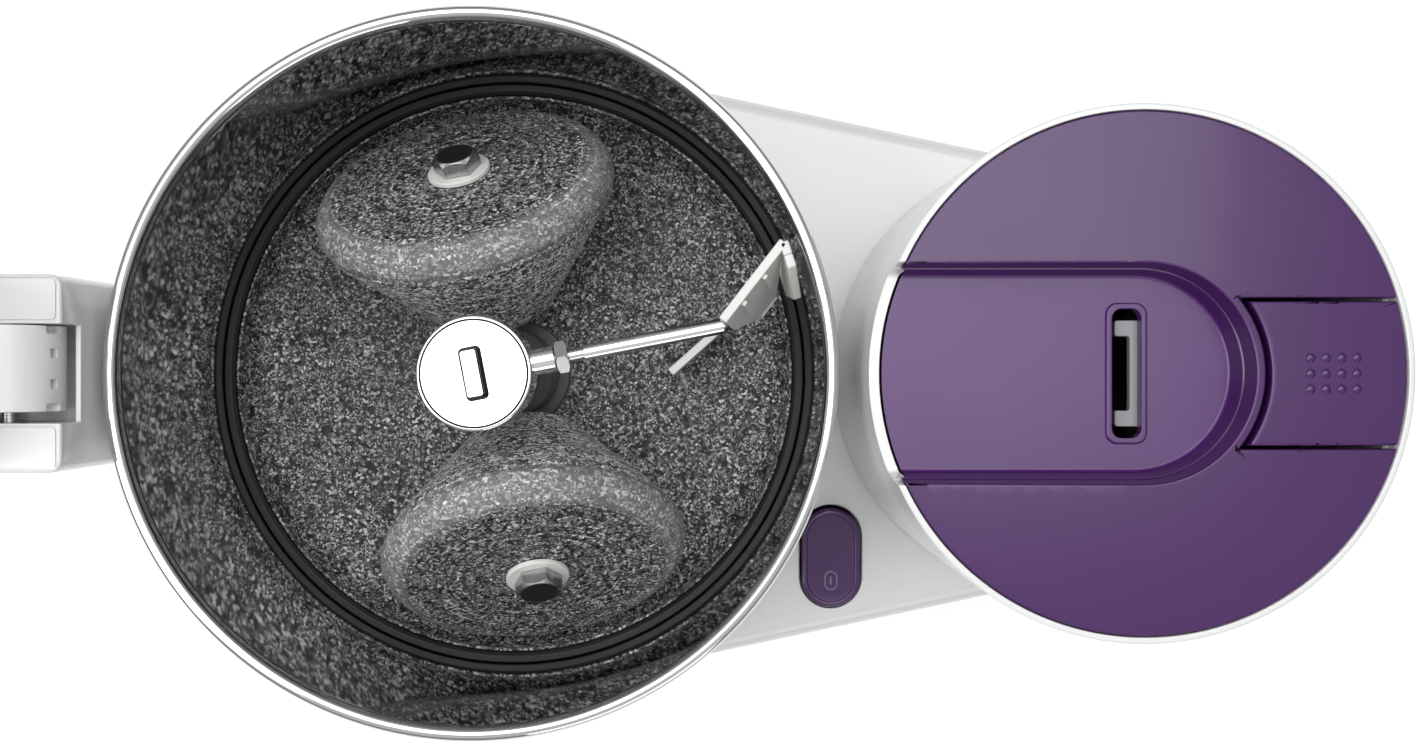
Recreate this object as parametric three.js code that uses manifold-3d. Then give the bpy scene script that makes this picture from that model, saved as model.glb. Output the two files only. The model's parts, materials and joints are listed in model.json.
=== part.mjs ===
// A table-top wet grinder: a stainless drum with a granite floor turns under two conical granite
// rollers and a nylon scraper. A lock arm swings over the drum and latches in the motor tower.
// Millimetres, +Z up. The pieces are placed about the drum's axis, and the whole group is then
// moved so that its origin is the middle of its footprint, on the table.

import * as THREE from 'three';
import { mergeVertices } from 'three/addons/utils/BufferGeometryUtils.js';
import Module from 'manifold-3d';

const wasm = await Module();
wasm.setup();

// Clearances
const seatGap = 0.3; // between two pieces that touch
const runningGap = 0.8; // between two pieces that move past each other
const cutOverrun = 5; // how far a cutter passes the face that it cuts
const weldDistance = 0.0001; // corners closer than this are one corner

// Facets of round shapes, per full turn unless named otherwise
const largeFacets = 36;
const mediumFacets = 20;
const smallFacets = 12;
const hiddenFacets = 16; // of the motor and the drive, inside the body
const tinyFacets = 6;
const filletFacets = 2; // per quarter turn of an edge
const beadFacets = 6; // over the drum's rolled rim

// Feet and base plate
const footHeight = 8;
const footRadius = 12;
const footStemRadius = 3;
const footStemRise = 2; // of the stem above the base plate
const footInset = 26; // from the edge of the body
const footTurn = THREE.MathUtils.degToRad(125);
const basePlateThickness = 3;
const ventWidth = 4;
const ventLength = 44;
const ventPitch = 12;
const ventCount = 5;

// Drum
const drumRadius = 112; // inside the wall
const drumWall = 1;
const drumLift = 10; // of its bottom above the well's floor
const drumRimHeight = 205;
const rimBeadRadius = 2.25;
const drumCornerRadius = 10;
const stoneThickness = 18.7;
const stoneLipRise = 11; // of its edge above its floor
const stoneLipWidth = 1.2;
const stoneBore = 16;
const sealWidth = 6.2;
const sealThickness = 6;
const sealEdge = 1.5;

// Body housing
const wellGap = 2.5; // around the drum
const bodyMargin = 4.5; // of body outside the well's wall
const bodyWall = 3;
const bodyHeight = 105;
const bodyEdgeRadius = 7;
const wellFloorHeight = 63;
const towerRadius = 81.5; // at the top
const towerTaper = 1.5; // how much wider the tower is at its foot
const towerHeight = 225;
const towerWellGap = 5; // between the well's wall and the tower
const neckInset = 3; // of the body's sides from the tower's foot
const towerRimWidth = 2;
const towerLedge = 1.5; // that the tower cap rests on
const towerLedgeDepth = 7;
const towerEdge = 0.8;

// Hinge post and pin
const postWidth = 60;
const postRimGap = 3; // between the drum's rim and the post
const pinSetback = 20.5; // of the pin from the post's front face
const postRearWall = 5.5;
const postFrontWall = 1.5;
const postFrontWallDrop = 13.2; // of the front wall below the post's top
const postCornerRadius = 4;
const postSlotWidth = 30;
const postSlotFloorWall = 4;
const pinRadius = 2.5;
const pinEndWall = 3; // of cheek left past the end of the pin

// Spindle, bearings and belt drive
const spindleRadius = 6;
const bearingRadius = 14;
const bearingThickness = 8;
const bearingSpacing = 13;
const housingWall = 4.7;
const housingFlangeRadius = 30;
const housingFlangeThickness = 4.4;
const housingHeight = 23.7;
const housingLipWidth = 4;
const sealLipRadius = 8.7;
const sealFlangeRadius = 14;
const sealFlangeThickness = 2.7;
const pulleyRadius = 78;
const pulleyFloorGap = 3.7;
const pulleyWidth = 16;
const pulleyRimThickness = 6;
const pulleyWeb = 5;
const pulleyHubRadius = 12;
const pulleyHubRise = 3;
const beltThickness = 2.7;
const beltWidth = 14;
const dogRadius = 11; // across the corners of the six-sided drive dog
const dogHeight = 6.4;
const couplerRadius = 22;
const couplerThickness = 5.4;

// Motor
const motorRadius = 56;
const motorWall = 3.4;
const statorBore = 30;
const statorHeight = 45;
const statorShowing = 5; // between the two end bells
const windingRise = 8; // of the winding past each end of the stator
const windingThickness = 3.7;
const windingFlare = 14;
const bellDepth = 24; // of each end bell past the stator's end
const motorPlateHeight = 41.7;
const motorPlateThickness = 3;
const motorPlateBore = 12;
const motorLedgeWidth = 4;
const motorLedgeHeight = 3.4;
const motorShaftRadius = 5;
const motorPulleyRadius = 9;
const fanRadius = 45;
const fanHubRadius = 11;
const fanThickness = 3;
const fanHeight = 12;
const fanBlades = 7;
const fanBladeThickness = 2;
const fanBladeRoot = 1; // of each blade inside the fan's disc
const capacitorRadius = 14;
const capacitorHeight = 48;
const capacitorEdge = 2;
const capacitorTurn = THREE.MathUtils.degToRad(29);
const capacitorGap = 7; // to the well's wall

// Power switch and cord inlet
const switchWidth = 22.4;
const switchLength = 38.3;
const switchSetback = 22.8; // of its middle from the well's wall
const switchInset = 28.4; // of its middle from the body's straight side
const ovalPowerShare = 0.8; // 1 is an ellipse, less is squarer
const rockerRise = 2.6;
const rockerDepth = 4;
const rockerTilt = THREE.MathUtils.degToRad(4);
const rockerPivotDrop = 4; // of its pivot below the top plate
const switchBodyDepth = 26;
const switchBodyRim = 2.4;
const switchCupDepth = 7;
const grommetRadius = 8;
const grommetNeckRadius = 6;
const grommetBore = 3.6;
const grommetFlange = 3;
const grommetHeight = 18; // above the base plate
const grommetTurn = THREE.MathUtils.degToRad(45);

// Centre post, bush and hub
const postRadius = 7;
const postFootRadius = 15.4;
const postFootHeight = 10;
const postFlareHeight = 6;
const bushThickness = 2.6;
const hubTubeWall = 2.4;
const hubLugDrop = 11; // of the lug's top below the closed arm
const hubFlangeRadius = 21;
const hubFlangeThickness = 4;
const hubNeckRadius = 14;
const hubBlockRadius = 17;
const hubBlockLift = 6.5;
const hubBlockHeight = 23.5;
const hubTurn = THREE.MathUtils.degToRad(11);
const hubCapWall = 4.5;
const hubCapOverlap = 5.7; // of the cap down over the tube
const hubCapSide = 11;
const hubCapRise = 15.5;
const lugWidth = 5.8;
const lugLength = 15.8;
const lugHeight = 4;
const lugFoot = 3;

// Rollers and their axles
const rollerTilt = THREE.MathUtils.degToRad(36); // axle from level, and the cone's half angle
const rollerApexOffset = 3; // of the cone's tip from the drum's axis
const rollerEdgeRadius = 9;
const rollerEdgeGap = 2.25; // to the curve of the stone's edge
const rollerSmallEnd = 30; // from the cone's tip, along the axle
const rollerSmallEdge = 2;
const axleRadius = 5;
const axleNutRadius = 8.5; // across its corners
const axleNutLength = 5;
const axleNutChamfer = 0.9;
const axleBossRadius = 8;
const axleRoot = 18; // plan radius where the axle starts in the hub
const rollerBushRadius = 7.6;
const rollerBushFlange = 11.3;
const rollerBushFlangeThickness = 1.6;

// Scraper
const scraperDrop = 9.5; // of the rod below the cap's top
const socketRadius = 4.25;
const socketLength = 11.5;
const socketSetback = 3; // of the socket's end inside the cap
const socketBoreDepth = 6;
const lockNutRadius = 6;
const lockNutLength = 4;
const threadRadius = 2.4;
const threadLength = 15;
const rodRadius = 1.75;
const bladeThickness = 3;
const bladeTopRise = 5; // above the rod
const bladeFloorGap = 1.5;
const bladeLipGap = 3; // above the stone's lip
const bladeFoldShare = 0.49; // of the plate's height, where it starts to lean out
const wingHeight = 24; // of the floor wing
const endWingDrop = 45; // how far the end wing tapers down
const bladeBossRadius = 3.4;
const bladeBossLength = 6;
// Plan places as shares of the drum's radius
const rodReachShare = 0.732;
const bladeInnerShares = [0.728, 0.015];
const bladeOuterShares = [0.945, 0.205];
const bladeLeanShares = [0.02, -0.075];
const bladeFootShares = [0.22, 0.88]; // of the plate's length, where its lower edge runs
const wingStartShares = [0.534, -0.1];
const endWingTopShares = [0.95, 0.165];
const endWingEndShares = [0.962, 0.05];

// Tower cap, arm seat and release button
const capTopThickness = 3.5;
const capRimWidth = 3.2;
const capDomeRise = 1.5;
const capDomeRings = 4;
const seatDepth = 13;
const seatFloorThickness = 3;
const seatHalfWidth = 30.5; // at the seat's floor
const seatSpread = 2.7; // how much wider the seat is at its top, on each side
const slotHalfLength = 20;
const slotInner = -6.5; // from the tower's axis
const slotOuter = 2.5;
const slotCornerRadius = 3;
const slotLipWidth = 1.9;
const slotLipHeight = 1.2;
const buttonHalfWidth = 21.7;
const buttonArcRadius = 37.8;
const buttonArcGap = 1.8;
// Places under the button as shares of the way from its arc to the tower's outside
const wedgeBackShare = 0.096;
const wedgeFaceShare = 0.233; // where the slanted face meets the top of the slide
const latchOuterShare = 0.37;
const springShare = 0.622;
const buttonSideGap = 1.1;
const buttonSkirtInset = 2;
const buttonSkirtDepth = 11;
const buttonTravel = 3;
const buttonDotRadius = 1.15;
const buttonDotRise = 0.5;
const buttonDotPitch = 4.7;
const buttonDotStart = 49.5;
const buttonDotColumns = 4;
const buttonDotRows = 3;
const springRadius = 4;
const springWire = 1.2;
const springTurns = 4;
const springStepsPerTurn = 8;
const springWireFacets = 5;

// Latch
const latchThickness = 3;
const latchHalfWidth = 16.6;
const latchArmLength = 4.7; // of the two arms beside the tongue
const latchBarWidth = 2.5; // of the bar that holds the tongue
const latchBackLength = 12; // of the opening behind the bar
const latchMouthHalfWidth = 11.6;
const latchReach = 1.2; // of the bar into the tongue's groove
const railWidth = 2;
const railLip = 2.4;
const railInner = 8;
const railSeatLength = 14;
const wedgeHalfWidth = 5;
const tongueThickness = 4.4;
const tongueInset = 3.5; // of the tongue from the slot's inner end
const tongueHalfWidth = 10.5;
const tongueGroove = 1.8;
const tongueTipDepth = 3;
const tongueRoot = 8; // of the tongue up inside the arm

// Lock arm
const armHalfWidth = 30;
const armThickness = 13;
const armWall = 2.5;
const armEdge = 2;
const armCoverThickness = 3;
const armCornerRadius = 6;
const armOpen = THREE.MathUtils.degToRad(105);
const armPinRise = 1; // of the pin above the arm's underside
const armPostGap = 4; // from the post's front to the wide part of the arm
const rootHalf = 9; // of the root block around the pin
const rootWidth = 26.2;
const rootOffset = 1.5;
const rootForward = 12;
const rootSlope = 4;
const knuckleRadius = 16;
const knuckleHole = 3;
const knuckleHoleSpacing = 9.4;
const knuckleNotchWidth = 3;
const knuckleNotchDepth = 2.5;
const lugSocketRadius = 13;
const lugSocketLap = 2.5; // of the lug inside the socket

// Heights and places that follow from the sizes above
const bodyBottom = footHeight + seatGap;
const basePlateTop = bodyBottom + basePlateThickness;
const drumOuterRadius = drumRadius + drumWall;
const rimRadius = drumRadius + 2 * rimBeadRadius;
const wellRadius = drumOuterRadius + wellGap;
const wellFloorBottom = wellFloorHeight - bodyWall;
const drumBottomHeight = wellFloorHeight + drumLift;
const stoneFloorHeight = drumBottomHeight + drumWall + seatGap + stoneThickness;
const stoneLipHeight = stoneFloorHeight + stoneLipRise;
const drumEndRadius = wellRadius + bodyWall + bodyMargin;
const towerFootRadius = towerRadius + towerTaper;
const towerAxis = wellRadius + bodyWall + towerWellGap + towerFootRadius;
const neckRadius = towerFootRadius - neckInset;
const postFront = -rimRadius - postRimGap;
const pinPlace = postFront - pinSetback;
const postTop = towerHeight;
const seatFloorHeight = towerHeight - seatDepth;
const armUnderside = seatFloorHeight + slotLipHeight + seatGap;
const pinHeight = armUnderside + armPinRise;
const armTop = armThickness - armPinRise; // above the pin
const armReach = towerAxis - pinPlace;
const sealInnerRadius = drumRadius - seatGap - sealWidth;
const dishRadius = sealInnerRadius - seatGap - stoneLipWidth;
const hubTubeInner = postRadius + 2 * seatGap + bushThickness;
const hubTubeRadius = hubTubeInner + hubTubeWall;
const hubCapRadius = hubTubeRadius + seatGap + hubCapWall;
const hubCapTop = armUnderside - hubLugDrop - lugHeight;
const hubCapBottom = hubCapTop - hubCapRise;
const hubTubeTop = hubCapBottom + hubCapOverlap;
const scraperHeight = hubCapTop - scraperDrop;
const rodReach = drumRadius * rodReachShare;
const pulleyBottom = basePlateTop + pulleyFloorGap;
const motorBottom = motorPlateHeight + motorPlateThickness + seatGap;
const underButton = (share) => buttonArcRadius + share * (towerRadius - buttonArcRadius);
const wedgeBack = underButton(wedgeBackShare);
const wedgeFace = underButton(wedgeFaceShare);
const latchOuter = underButton(latchOuterShare);
const springPlace = underButton(springShare);
const latchTop = seatFloorHeight - seatFloorThickness - seatGap;
const latchBottom = latchTop - latchThickness;

// Shapes

// A closed geometry as a solid that can be joined and cut.
function solidOf(geometry) {
  const bare = geometry.index ? geometry.toNonIndexed() : geometry.clone();
  bare.deleteAttribute('normal');
  bare.deleteAttribute('uv');
  const welded = mergeVertices(bare, weldDistance);
  const index = welded.index.array;
  const corners = [];
  for (let i = 0; i < index.length; i += 3) {
    const [a, b, c] = [index[i], index[i + 1], index[i + 2]];
    if (a !== b && b !== c && c !== a) corners.push(a, b, c);
  }
  return new wasm.Manifold(
    new wasm.Mesh({
      numProp: 3,
      vertProperties: welded.attributes.position.array,
      triVerts: new Uint32Array(corners),
    }),
  );
}

function geometryOf(solid) {
  const mesh = solid.getMesh();
  const positions = new Float32Array(mesh.numVert * 3);
  for (let i = 0; i < mesh.numVert; i++) {
    for (let axis = 0; axis < 3; axis++) {
      positions[3 * i + axis] = mesh.vertProperties[mesh.numProp * i + axis];
    }
  }
  const geometry = new THREE.BufferGeometry();
  geometry.setAttribute('position', new THREE.BufferAttribute(positions, 3));
  geometry.setIndex(Array.from(mesh.triVerts));
  return geometry.toNonIndexed();
}

function piece(name, solid, finish) {
  const geometry = geometryOf(solid);
  geometry.computeVertexNormals();
  const mesh = new THREE.Mesh(geometry, new THREE.MeshStandardMaterial(finish));
  mesh.name = name;
  return mesh;
}

// A piece turned about +Z from [radius, height] points that run from the axis and back to it,
// or round a closed outline.
function turned(profile, facets, place) {
  const points = profile.map(([radius, height]) => new THREE.Vector2(radius, height));
  const onAxis = points[0].x === 0 && points[points.length - 1].x === 0;
  if (!onAxis) points.push(points[0].clone());
  if (THREE.ShapeUtils.area(points) < 0) points.reverse();
  const geometry = new THREE.LatheGeometry(points, facets).rotateX(Math.PI / 2);
  if (place) geometry.applyMatrix4(place);
  return solidOf(geometry);
}

function shift(x, y, z) {
  return new THREE.Matrix4().makeTranslation(x, y, z);
}

function disc(radius, bottom, top, facets, place) {
  return turned([[0, bottom], [radius, bottom], [radius, top], [0, top]], facets, place);
}

function ring(inner, outer, bottom, top, facets, place) {
  return turned([[inner, bottom], [outer, bottom], [outer, top], [inner, top]], facets, place);
}

// A disc whose axis points along Y.
function crossDisc(radius, from, to, facets, x, z) {
  const place = new THREE.Matrix4().makeRotationX(-Math.PI / 2).setPosition(x, 0, z);
  return disc(radius, from, to, facets, place);
}

function block(x0, x1, y0, y1, z0, z1) {
  const geometry = new THREE.BoxGeometry(x1 - x0, y1 - y0, z1 - z0);
  return solidOf(geometry.translate((x0 + x1) / 2, (y0 + y1) / 2, (z0 + z1) / 2));
}

// A straight-sided piece over a flat outline.
function prism(outline, bottom, top, place) {
  const geometry = new THREE.ExtrudeGeometry(new THREE.Shape(outline), {
    depth: top - bottom,
    bevelEnabled: false,
  }).translate(0, 0, bottom);
  if (place) geometry.applyMatrix4(place);
  return solidOf(geometry);
}

// A straight-sided piece over an outline in the XZ plane, from one Y to another.
function sidePrism(outline, y0, y1) {
  const points = outline.map(([x, z]) => new THREE.Vector2(x, z));
  const geometry = new THREE.ExtrudeGeometry(new THREE.Shape(points), {
    depth: y1 - y0,
    bevelEnabled: false,
  });
  return solidOf(geometry.rotateX(Math.PI / 2).translate(0, y1, 0));
}

// A piece that changes its outline from level to level, as [outline, height] pairs.
function stacked(levels, place) {
  const count = levels[0][0].length;
  const corners = levels.flatMap(([outline, height]) =>
    outline.map((point) => [point.x, point.y, height]),
  );
  const faces = [];
  for (let level = 0; level + 1 < levels.length; level++) {
    for (let i = 0; i < count; i++) {
      const a = level * count + i;
      const b = level * count + ((i + 1) % count);
      faces.push([a, b, b + count], [a, b + count, a + count]);
    }
  }
  const top = (levels.length - 1) * count;
  for (const [a, b, c] of THREE.ShapeUtils.triangulateShape(levels[0][0], [])) {
    const flip = THREE.ShapeUtils.area([a, b, c].map((i) => levels[0][0][i])) < 0;
    const [p, q] = flip ? [c, b] : [b, c];
    faces.push([top + a, top + p, top + q], [a, q, p]);
  }
  const positions = faces.flat().flatMap((i) => corners[i]);
  const geometry = new THREE.BufferGeometry();
  geometry.setAttribute('position', new THREE.Float32BufferAttribute(positions, 3));
  if (place) geometry.applyMatrix4(place);
  return solidOf(geometry);
}

function arc(x, y, radius, from, to, steps) {
  const points = [];
  for (let i = 0; i <= steps; i++) {
    const turn = from + ((to - from) * i) / steps;
    points.push(new THREE.Vector2(x + radius * Math.cos(turn), y + radius * Math.sin(turn)));
  }
  return points;
}

function arcSteps(from, to, facets) {
  return Math.max(2, Math.round((facets * Math.abs(to - from)) / (2 * Math.PI)));
}

// The outline of a belt round two circles, one at the axis and one further along +X.
function beltOutline(nearRadius, farRadius, distance) {
  const lean = Math.acos((nearRadius - farRadius) / distance);
  const nearSteps = arcSteps(lean, 2 * Math.PI - lean, largeFacets);
  const farSteps = arcSteps(-lean, lean, largeFacets);
  return [
    ...arc(distance, 0, farRadius, -lean, lean, farSteps),
    ...arc(0, 0, nearRadius, lean, 2 * Math.PI - lean, nearSteps),
  ];
}

function roundedOutline(x0, x1, y0, y1, radius) {
  const quarter = Math.PI / 2;
  return [
    ...arc(x1 - radius, y0 + radius, radius, -quarter, 0, filletFacets),
    ...arc(x1 - radius, y1 - radius, radius, 0, quarter, filletFacets),
    ...arc(x0 + radius, y1 - radius, radius, quarter, 2 * quarter, filletFacets),
    ...arc(x0 + radius, y0 + radius, radius, 2 * quarter, 3 * quarter, filletFacets),
  ];
}

// An oval with flatter sides than an ellipse.
function ovalOutline(width, length, facets) {
  const bulge = (share) => Math.sign(share) * Math.abs(share) ** ovalPowerShare;
  return arc(0, 0, 1, 0, 2 * Math.PI, facets)
    .slice(1)
    .map((point) => new THREE.Vector2((bulge(point.x) * width) / 2, (bulge(point.y) * length) / 2));
}

// [radius, height] points of an arc in a turned profile.
function profileArc(radius, height, size, from, to, steps) {
  return arc(radius, height, size, from, to, steps).map((point) => [point.x, point.y]);
}

// Body

function bodyOutline(inset) {
  return beltOutline(drumEndRadius - inset, neckRadius - inset, towerAxis);
}

function postOutline(inset) {
  const back = pinBackPlace() - postRearWall;
  const half = postWidth / 2 - inset;
  return roundedOutline(back + inset, postFront - inset, -half, half, postCornerRadius);
}

// The inner face of the post's rear wall, where the open arm's back leans.
function pinBackPlace() {
  const rise = postTop - pinHeight;
  const along = (rise - armTop * Math.cos(armOpen)) / Math.sin(armOpen);
  const back = along * Math.cos(armOpen) - armTop * Math.sin(armOpen);
  return pinPlace + back - seatGap;
}

// The square foot of the hinge post, down to the bottom of the body.
function pilasterOutline(inset) {
  const back = pinBackPlace() - postRearWall;
  const half = postWidth / 2 - inset;
  return roundedOutline(back + inset, -drumEndRadius / 2, -half, half, postCornerRadius);
}

function switchPlace() {
  const distance = wellRadius + bodyWall + switchSetback;
  const lean = Math.acos((drumEndRadius - neckRadius) / towerAxis);
  const turn = Math.acos((drumEndRadius - switchInset) / distance) - lean;
  return shift(distance * Math.cos(turn), distance * Math.sin(turn), 0);
}

function grommetPlace() {
  const level = new THREE.Matrix4().makeRotationY(Math.PI / 2);
  const place = new THREE.Matrix4().makeRotationZ(grommetTurn).multiply(level);
  return place.setPosition(towerAxis, 0, basePlateTop + grommetHeight);
}

function bodyShell() {
  const quarter = Math.PI / 2;
  const levels = [[bodyOutline(0), bodyBottom]];
  for (let i = 0; i <= filletFacets; i++) {
    const turn = (quarter * i) / filletFacets;
    const inset = bodyEdgeRadius * (1 - Math.cos(turn));
    levels.push([bodyOutline(inset), bodyHeight - bodyEdgeRadius * (1 - Math.sin(turn))]);
  }
  const under = bodyBottom - cutOverrun;
  const over = bodyHeight + cutOverrun;
  const tower = shift(towerAxis, 0, 0);
  const inner = towerFootRadius - bodyWall;
  const ledgeTop = motorPlateHeight - seatGap;
  const cavity = prism(bodyOutline(bodyWall), under, bodyHeight - bodyWall)
    .add(disc(inner, under, over, largeFacets, tower))
    .add(prism(pilasterOutline(bodyWall), under, bodyHeight - bodyWall));
  const ledge = ring(
    inner - motorLedgeWidth, inner + bodyWall / 2, ledgeTop - motorLedgeHeight, ledgeTop,
    largeFacets, tower,
  );
  const switchHole = ovalOutline(
    switchWidth + 2 * runningGap, switchLength + 2 * runningGap, mediumFacets,
  );
  return stacked(levels)
    .add(disc(towerFootRadius, bodyBottom, bodyHeight, largeFacets, tower))
    .add(prism(pilasterOutline(0), bodyBottom, bodyHeight))
    .subtract(cavity)
    .add(ledge)
    .subtract(disc(wellRadius + bodyWall + seatGap, bodyHeight - bodyWall - cutOverrun, over,
      largeFacets))
    .subtract(prism(switchHole, bodyHeight - bodyWall - cutOverrun, over, switchPlace()))
    .subtract(disc(
      grommetNeckRadius + seatGap, inner - cutOverrun, towerFootRadius + cutOverrun,
      smallFacets, grommetPlace(),
    ));
}

// The cup that the drum stands in, let into the top of the body.
function drumWell() {
  return turned([
    [sealLipRadius + seatGap, wellFloorBottom], [wellRadius + bodyWall, wellFloorBottom],
    [wellRadius + bodyWall, bodyHeight], [wellRadius, bodyHeight],
    [wellRadius, wellFloorHeight], [sealLipRadius + seatGap, wellFloorHeight],
  ], largeFacets);
}

function footPlaces() {
  const near = drumEndRadius - footInset;
  const far = towerFootRadius - footInset;
  const places = [];
  for (const side of [-1, 1]) {
    places.push([near * Math.cos(footTurn), side * near * Math.sin(footTurn)]);
    places.push([towerAxis - far * Math.cos(footTurn), side * far * Math.sin(footTurn)]);
  }
  return places;
}

function foot() {
  const stemTop = basePlateTop + footStemRise;
  return turned([
    [0, 0], [footRadius - seatGap, 0], [footRadius, footHeight / 2], [footRadius, footHeight],
    [footStemRadius, footHeight], [footStemRadius, stemTop], [0, stemTop],
  ], smallFacets);
}

function basePlate() {
  const inset = bodyWall + seatGap;
  const over = basePlateTop + cutOverrun;
  let plate = prism(bodyOutline(inset), bodyBottom, basePlateTop)
    .add(disc(towerFootRadius - inset, bodyBottom, basePlateTop, largeFacets, shift(towerAxis, 0, 0)))
    .add(prism(pilasterOutline(inset), bodyBottom, basePlateTop));
  for (const [x, y] of footPlaces()) {
    plate = plate.subtract(disc(footStemRadius + seatGap, 0, over, smallFacets, shift(x, y, 0)));
  }
  for (let i = 0; i < ventCount; i++) {
    const y = (i - (ventCount - 1) / 2) * ventPitch;
    plate = plate.subtract(block(
      towerAxis - ventLength / 2, towerAxis + ventLength / 2,
      y - ventWidth / 2, y + ventWidth / 2, 0, over,
    ));
  }
  return plate;
}

function towerShell() {
  const bottom = bodyHeight + seatGap;
  const top = towerHeight;
  const inner = towerRadius - towerRimWidth;
  const ledge = top - towerLedgeDepth;
  const wallInner = inner - towerLedge;
  const shell = turned([
    [towerFootRadius - bodyWall, bottom], [towerFootRadius, bottom],
    [towerRadius, top - towerEdge], [towerRadius - towerEdge, top],
    [inner, top], [inner, ledge], [wallInner, ledge], [wallInner, ledge - bodyWall],
    [towerRadius - bodyWall, ledge - 2 * bodyWall],
  ], largeFacets);
  return shell.subtract(seatSpace(towerFootRadius + cutOverrun, seatGap));
}

// Tower cap

// A U-shaped outline open to the left, round the tower's axis.
function seatOutline(half, reach) {
  const quarter = Math.PI / 2;
  return [
    new THREE.Vector2(-reach, -half),
    ...arc(0, 0, half, -quarter, quarter, arcSteps(-quarter, quarter, largeFacets)),
    new THREE.Vector2(-reach, half),
  ];
}

// The room that the closed arm lies in, widening upwards.
function seatSpace(reach, extra) {
  const bottom = seatFloorHeight - extra;
  const top = towerHeight + cutOverrun;
  const slope = seatSpread / seatDepth;
  return stacked([
    [seatOutline(seatHalfWidth + extra - slope * extra, reach), bottom],
    [seatOutline(seatHalfWidth + extra + slope * (top - seatFloorHeight), reach), top],
  ]);
}

function domeHeight(radius) {
  const capRadius = towerRadius - towerRimWidth - seatGap;
  return towerHeight + capDomeRise * (1 - (radius / capRadius) ** 2) - towerEdge / 2;
}

// The cap's outer body before anything is cut from it.
function capBody(radius, bottom) {
  const profile = [[0, bottom], [radius, bottom]];
  for (let i = 0; i <= capDomeRings; i++) {
    const at = radius * (1 - i / capDomeRings);
    profile.push([at, domeHeight(at)]);
  }
  return turned(profile, largeFacets);
}

function buttonOutline(arcRadius, halfWidth, outerRadius) {
  const near = Math.asin(halfWidth / arcRadius);
  const far = Math.asin(halfWidth / outerRadius);
  const nearSteps = arcSteps(-near, near, largeFacets);
  const farSteps = arcSteps(-far, far, largeFacets);
  return [
    ...arc(0, 0, outerRadius, -far, far, farSteps),
    ...arc(0, 0, arcRadius, near, -near, nearSteps),
  ];
}

function latchRails() {
  const bottom = latchBottom - seatGap - railLip;
  const outer = latchHalfWidth + seatGap + railWidth;
  const side = latchHalfWidth + seatGap;
  const seatStart = springPlace - railSeatLength / 2;
  const end = springPlace + railSeatLength / 2;
  const join = seatFloorHeight - seatFloorThickness / 2;
  let rails = block(seatStart, end, -outer, outer, bottom, bottom + railLip);
  for (const facing of [-1, 1]) {
    const sides = [facing * side, facing * outer].sort((a, b) => a - b);
    const lips = [facing * (side - railLip), facing * outer].sort((a, b) => a - b);
    rails = rails
      .add(block(railInner, end, sides[0], sides[1], bottom, latchTop))
      .add(block(railInner, seatHalfWidth / 2, sides[0], sides[1], bottom, join))
      .add(block(railInner, end, lips[0], lips[1], bottom, bottom + railLip));
  }
  return rails;
}

function towerCap() {
  const radius = towerRadius - towerRimWidth - seatGap;
  const bottom = towerHeight - towerLedgeDepth + seatGap;
  const tubBottom = seatFloorHeight - seatFloorThickness;
  const tubRadius = towerRadius - towerRimWidth - towerLedge - seatGap;
  const over = towerHeight + cutOverrun;
  const wall = seatFloorThickness;
  const tub = prism(seatOutline(seatHalfWidth + seatSpread + wall, radius), tubBottom, towerHeight)
    .intersect(disc(tubRadius, tubBottom, towerHeight, largeFacets));
  const hollow = disc(radius - capRimWidth, bottom - cutOverrun, towerHeight - capTopThickness,
    largeFacets);
  const half = slotHalfLength;
  const slot = roundedOutline(slotInner, slotOuter, -half, half, slotCornerRadius);
  const lip = roundedOutline(
    slotInner - slotLipWidth, slotOuter + slotLipWidth,
    -half - slotLipWidth, half + slotLipWidth, slotCornerRadius,
  );
  const buttonSpace = buttonOutline(
    buttonArcRadius - buttonArcGap, buttonHalfWidth + buttonSideGap, radius + cutOverrun,
  );
  return capBody(radius, bottom)
    .subtract(hollow)
    .subtract(prism(buttonSpace, bottom - cutOverrun, over))
    .add(tub)
    .add(latchRails())
    .subtract(seatSpace(radius + cutOverrun, 0))
    .add(prism(lip, seatFloorHeight - wall / 2, seatFloorHeight + slotLipHeight))
    .subtract(prism(slot, tubBottom - cutOverrun, over));
}

function releaseButton() {
  const radius = towerRadius - towerRimWidth - 2 * seatGap;
  const skirtTop = towerHeight - capTopThickness;
  const skirtBottom = towerHeight - buttonSkirtDepth;
  const skirtRadius = radius - towerLedge - buttonSkirtInset;
  const wedgeTop = skirtBottom + seatGap;
  const wedgeBottom = latchBottom - runningGap;
  const top = prism(buttonOutline(buttonArcRadius, buttonHalfWidth, radius), skirtTop,
    towerHeight + cutOverrun).intersect(capBody(radius, skirtTop));
  const skirt = prism(
    buttonOutline(buttonArcRadius + buttonSkirtInset, buttonHalfWidth - buttonSkirtInset, skirtRadius),
    skirtBottom, skirtTop + seatGap,
  );
  const wedge = sidePrism([
    [wedgeBack, wedgeTop], [wedgeBack, wedgeBottom],
    [wedgeFace + wedgeBottom - latchTop, wedgeBottom], [wedgeFace + wedgeTop - latchTop, wedgeTop],
  ], -wedgeHalfWidth, wedgeHalfWidth);
  let button = top.add(skirt).add(wedge);
  for (let column = 0; column < buttonDotColumns; column++) {
    for (let row = 0; row < buttonDotRows; row++) {
      const x = buttonDotStart + column * buttonDotPitch;
      const y = (row - (buttonDotRows - 1) / 2) * buttonDotPitch;
      const height = domeHeight(Math.hypot(x, y));
      button = button.add(disc(
        buttonDotRadius, height - capTopThickness / 2, height + buttonDotRise, tinyFacets,
        shift(x, y, 0),
      ));
    }
  }
  return button;
}

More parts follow.
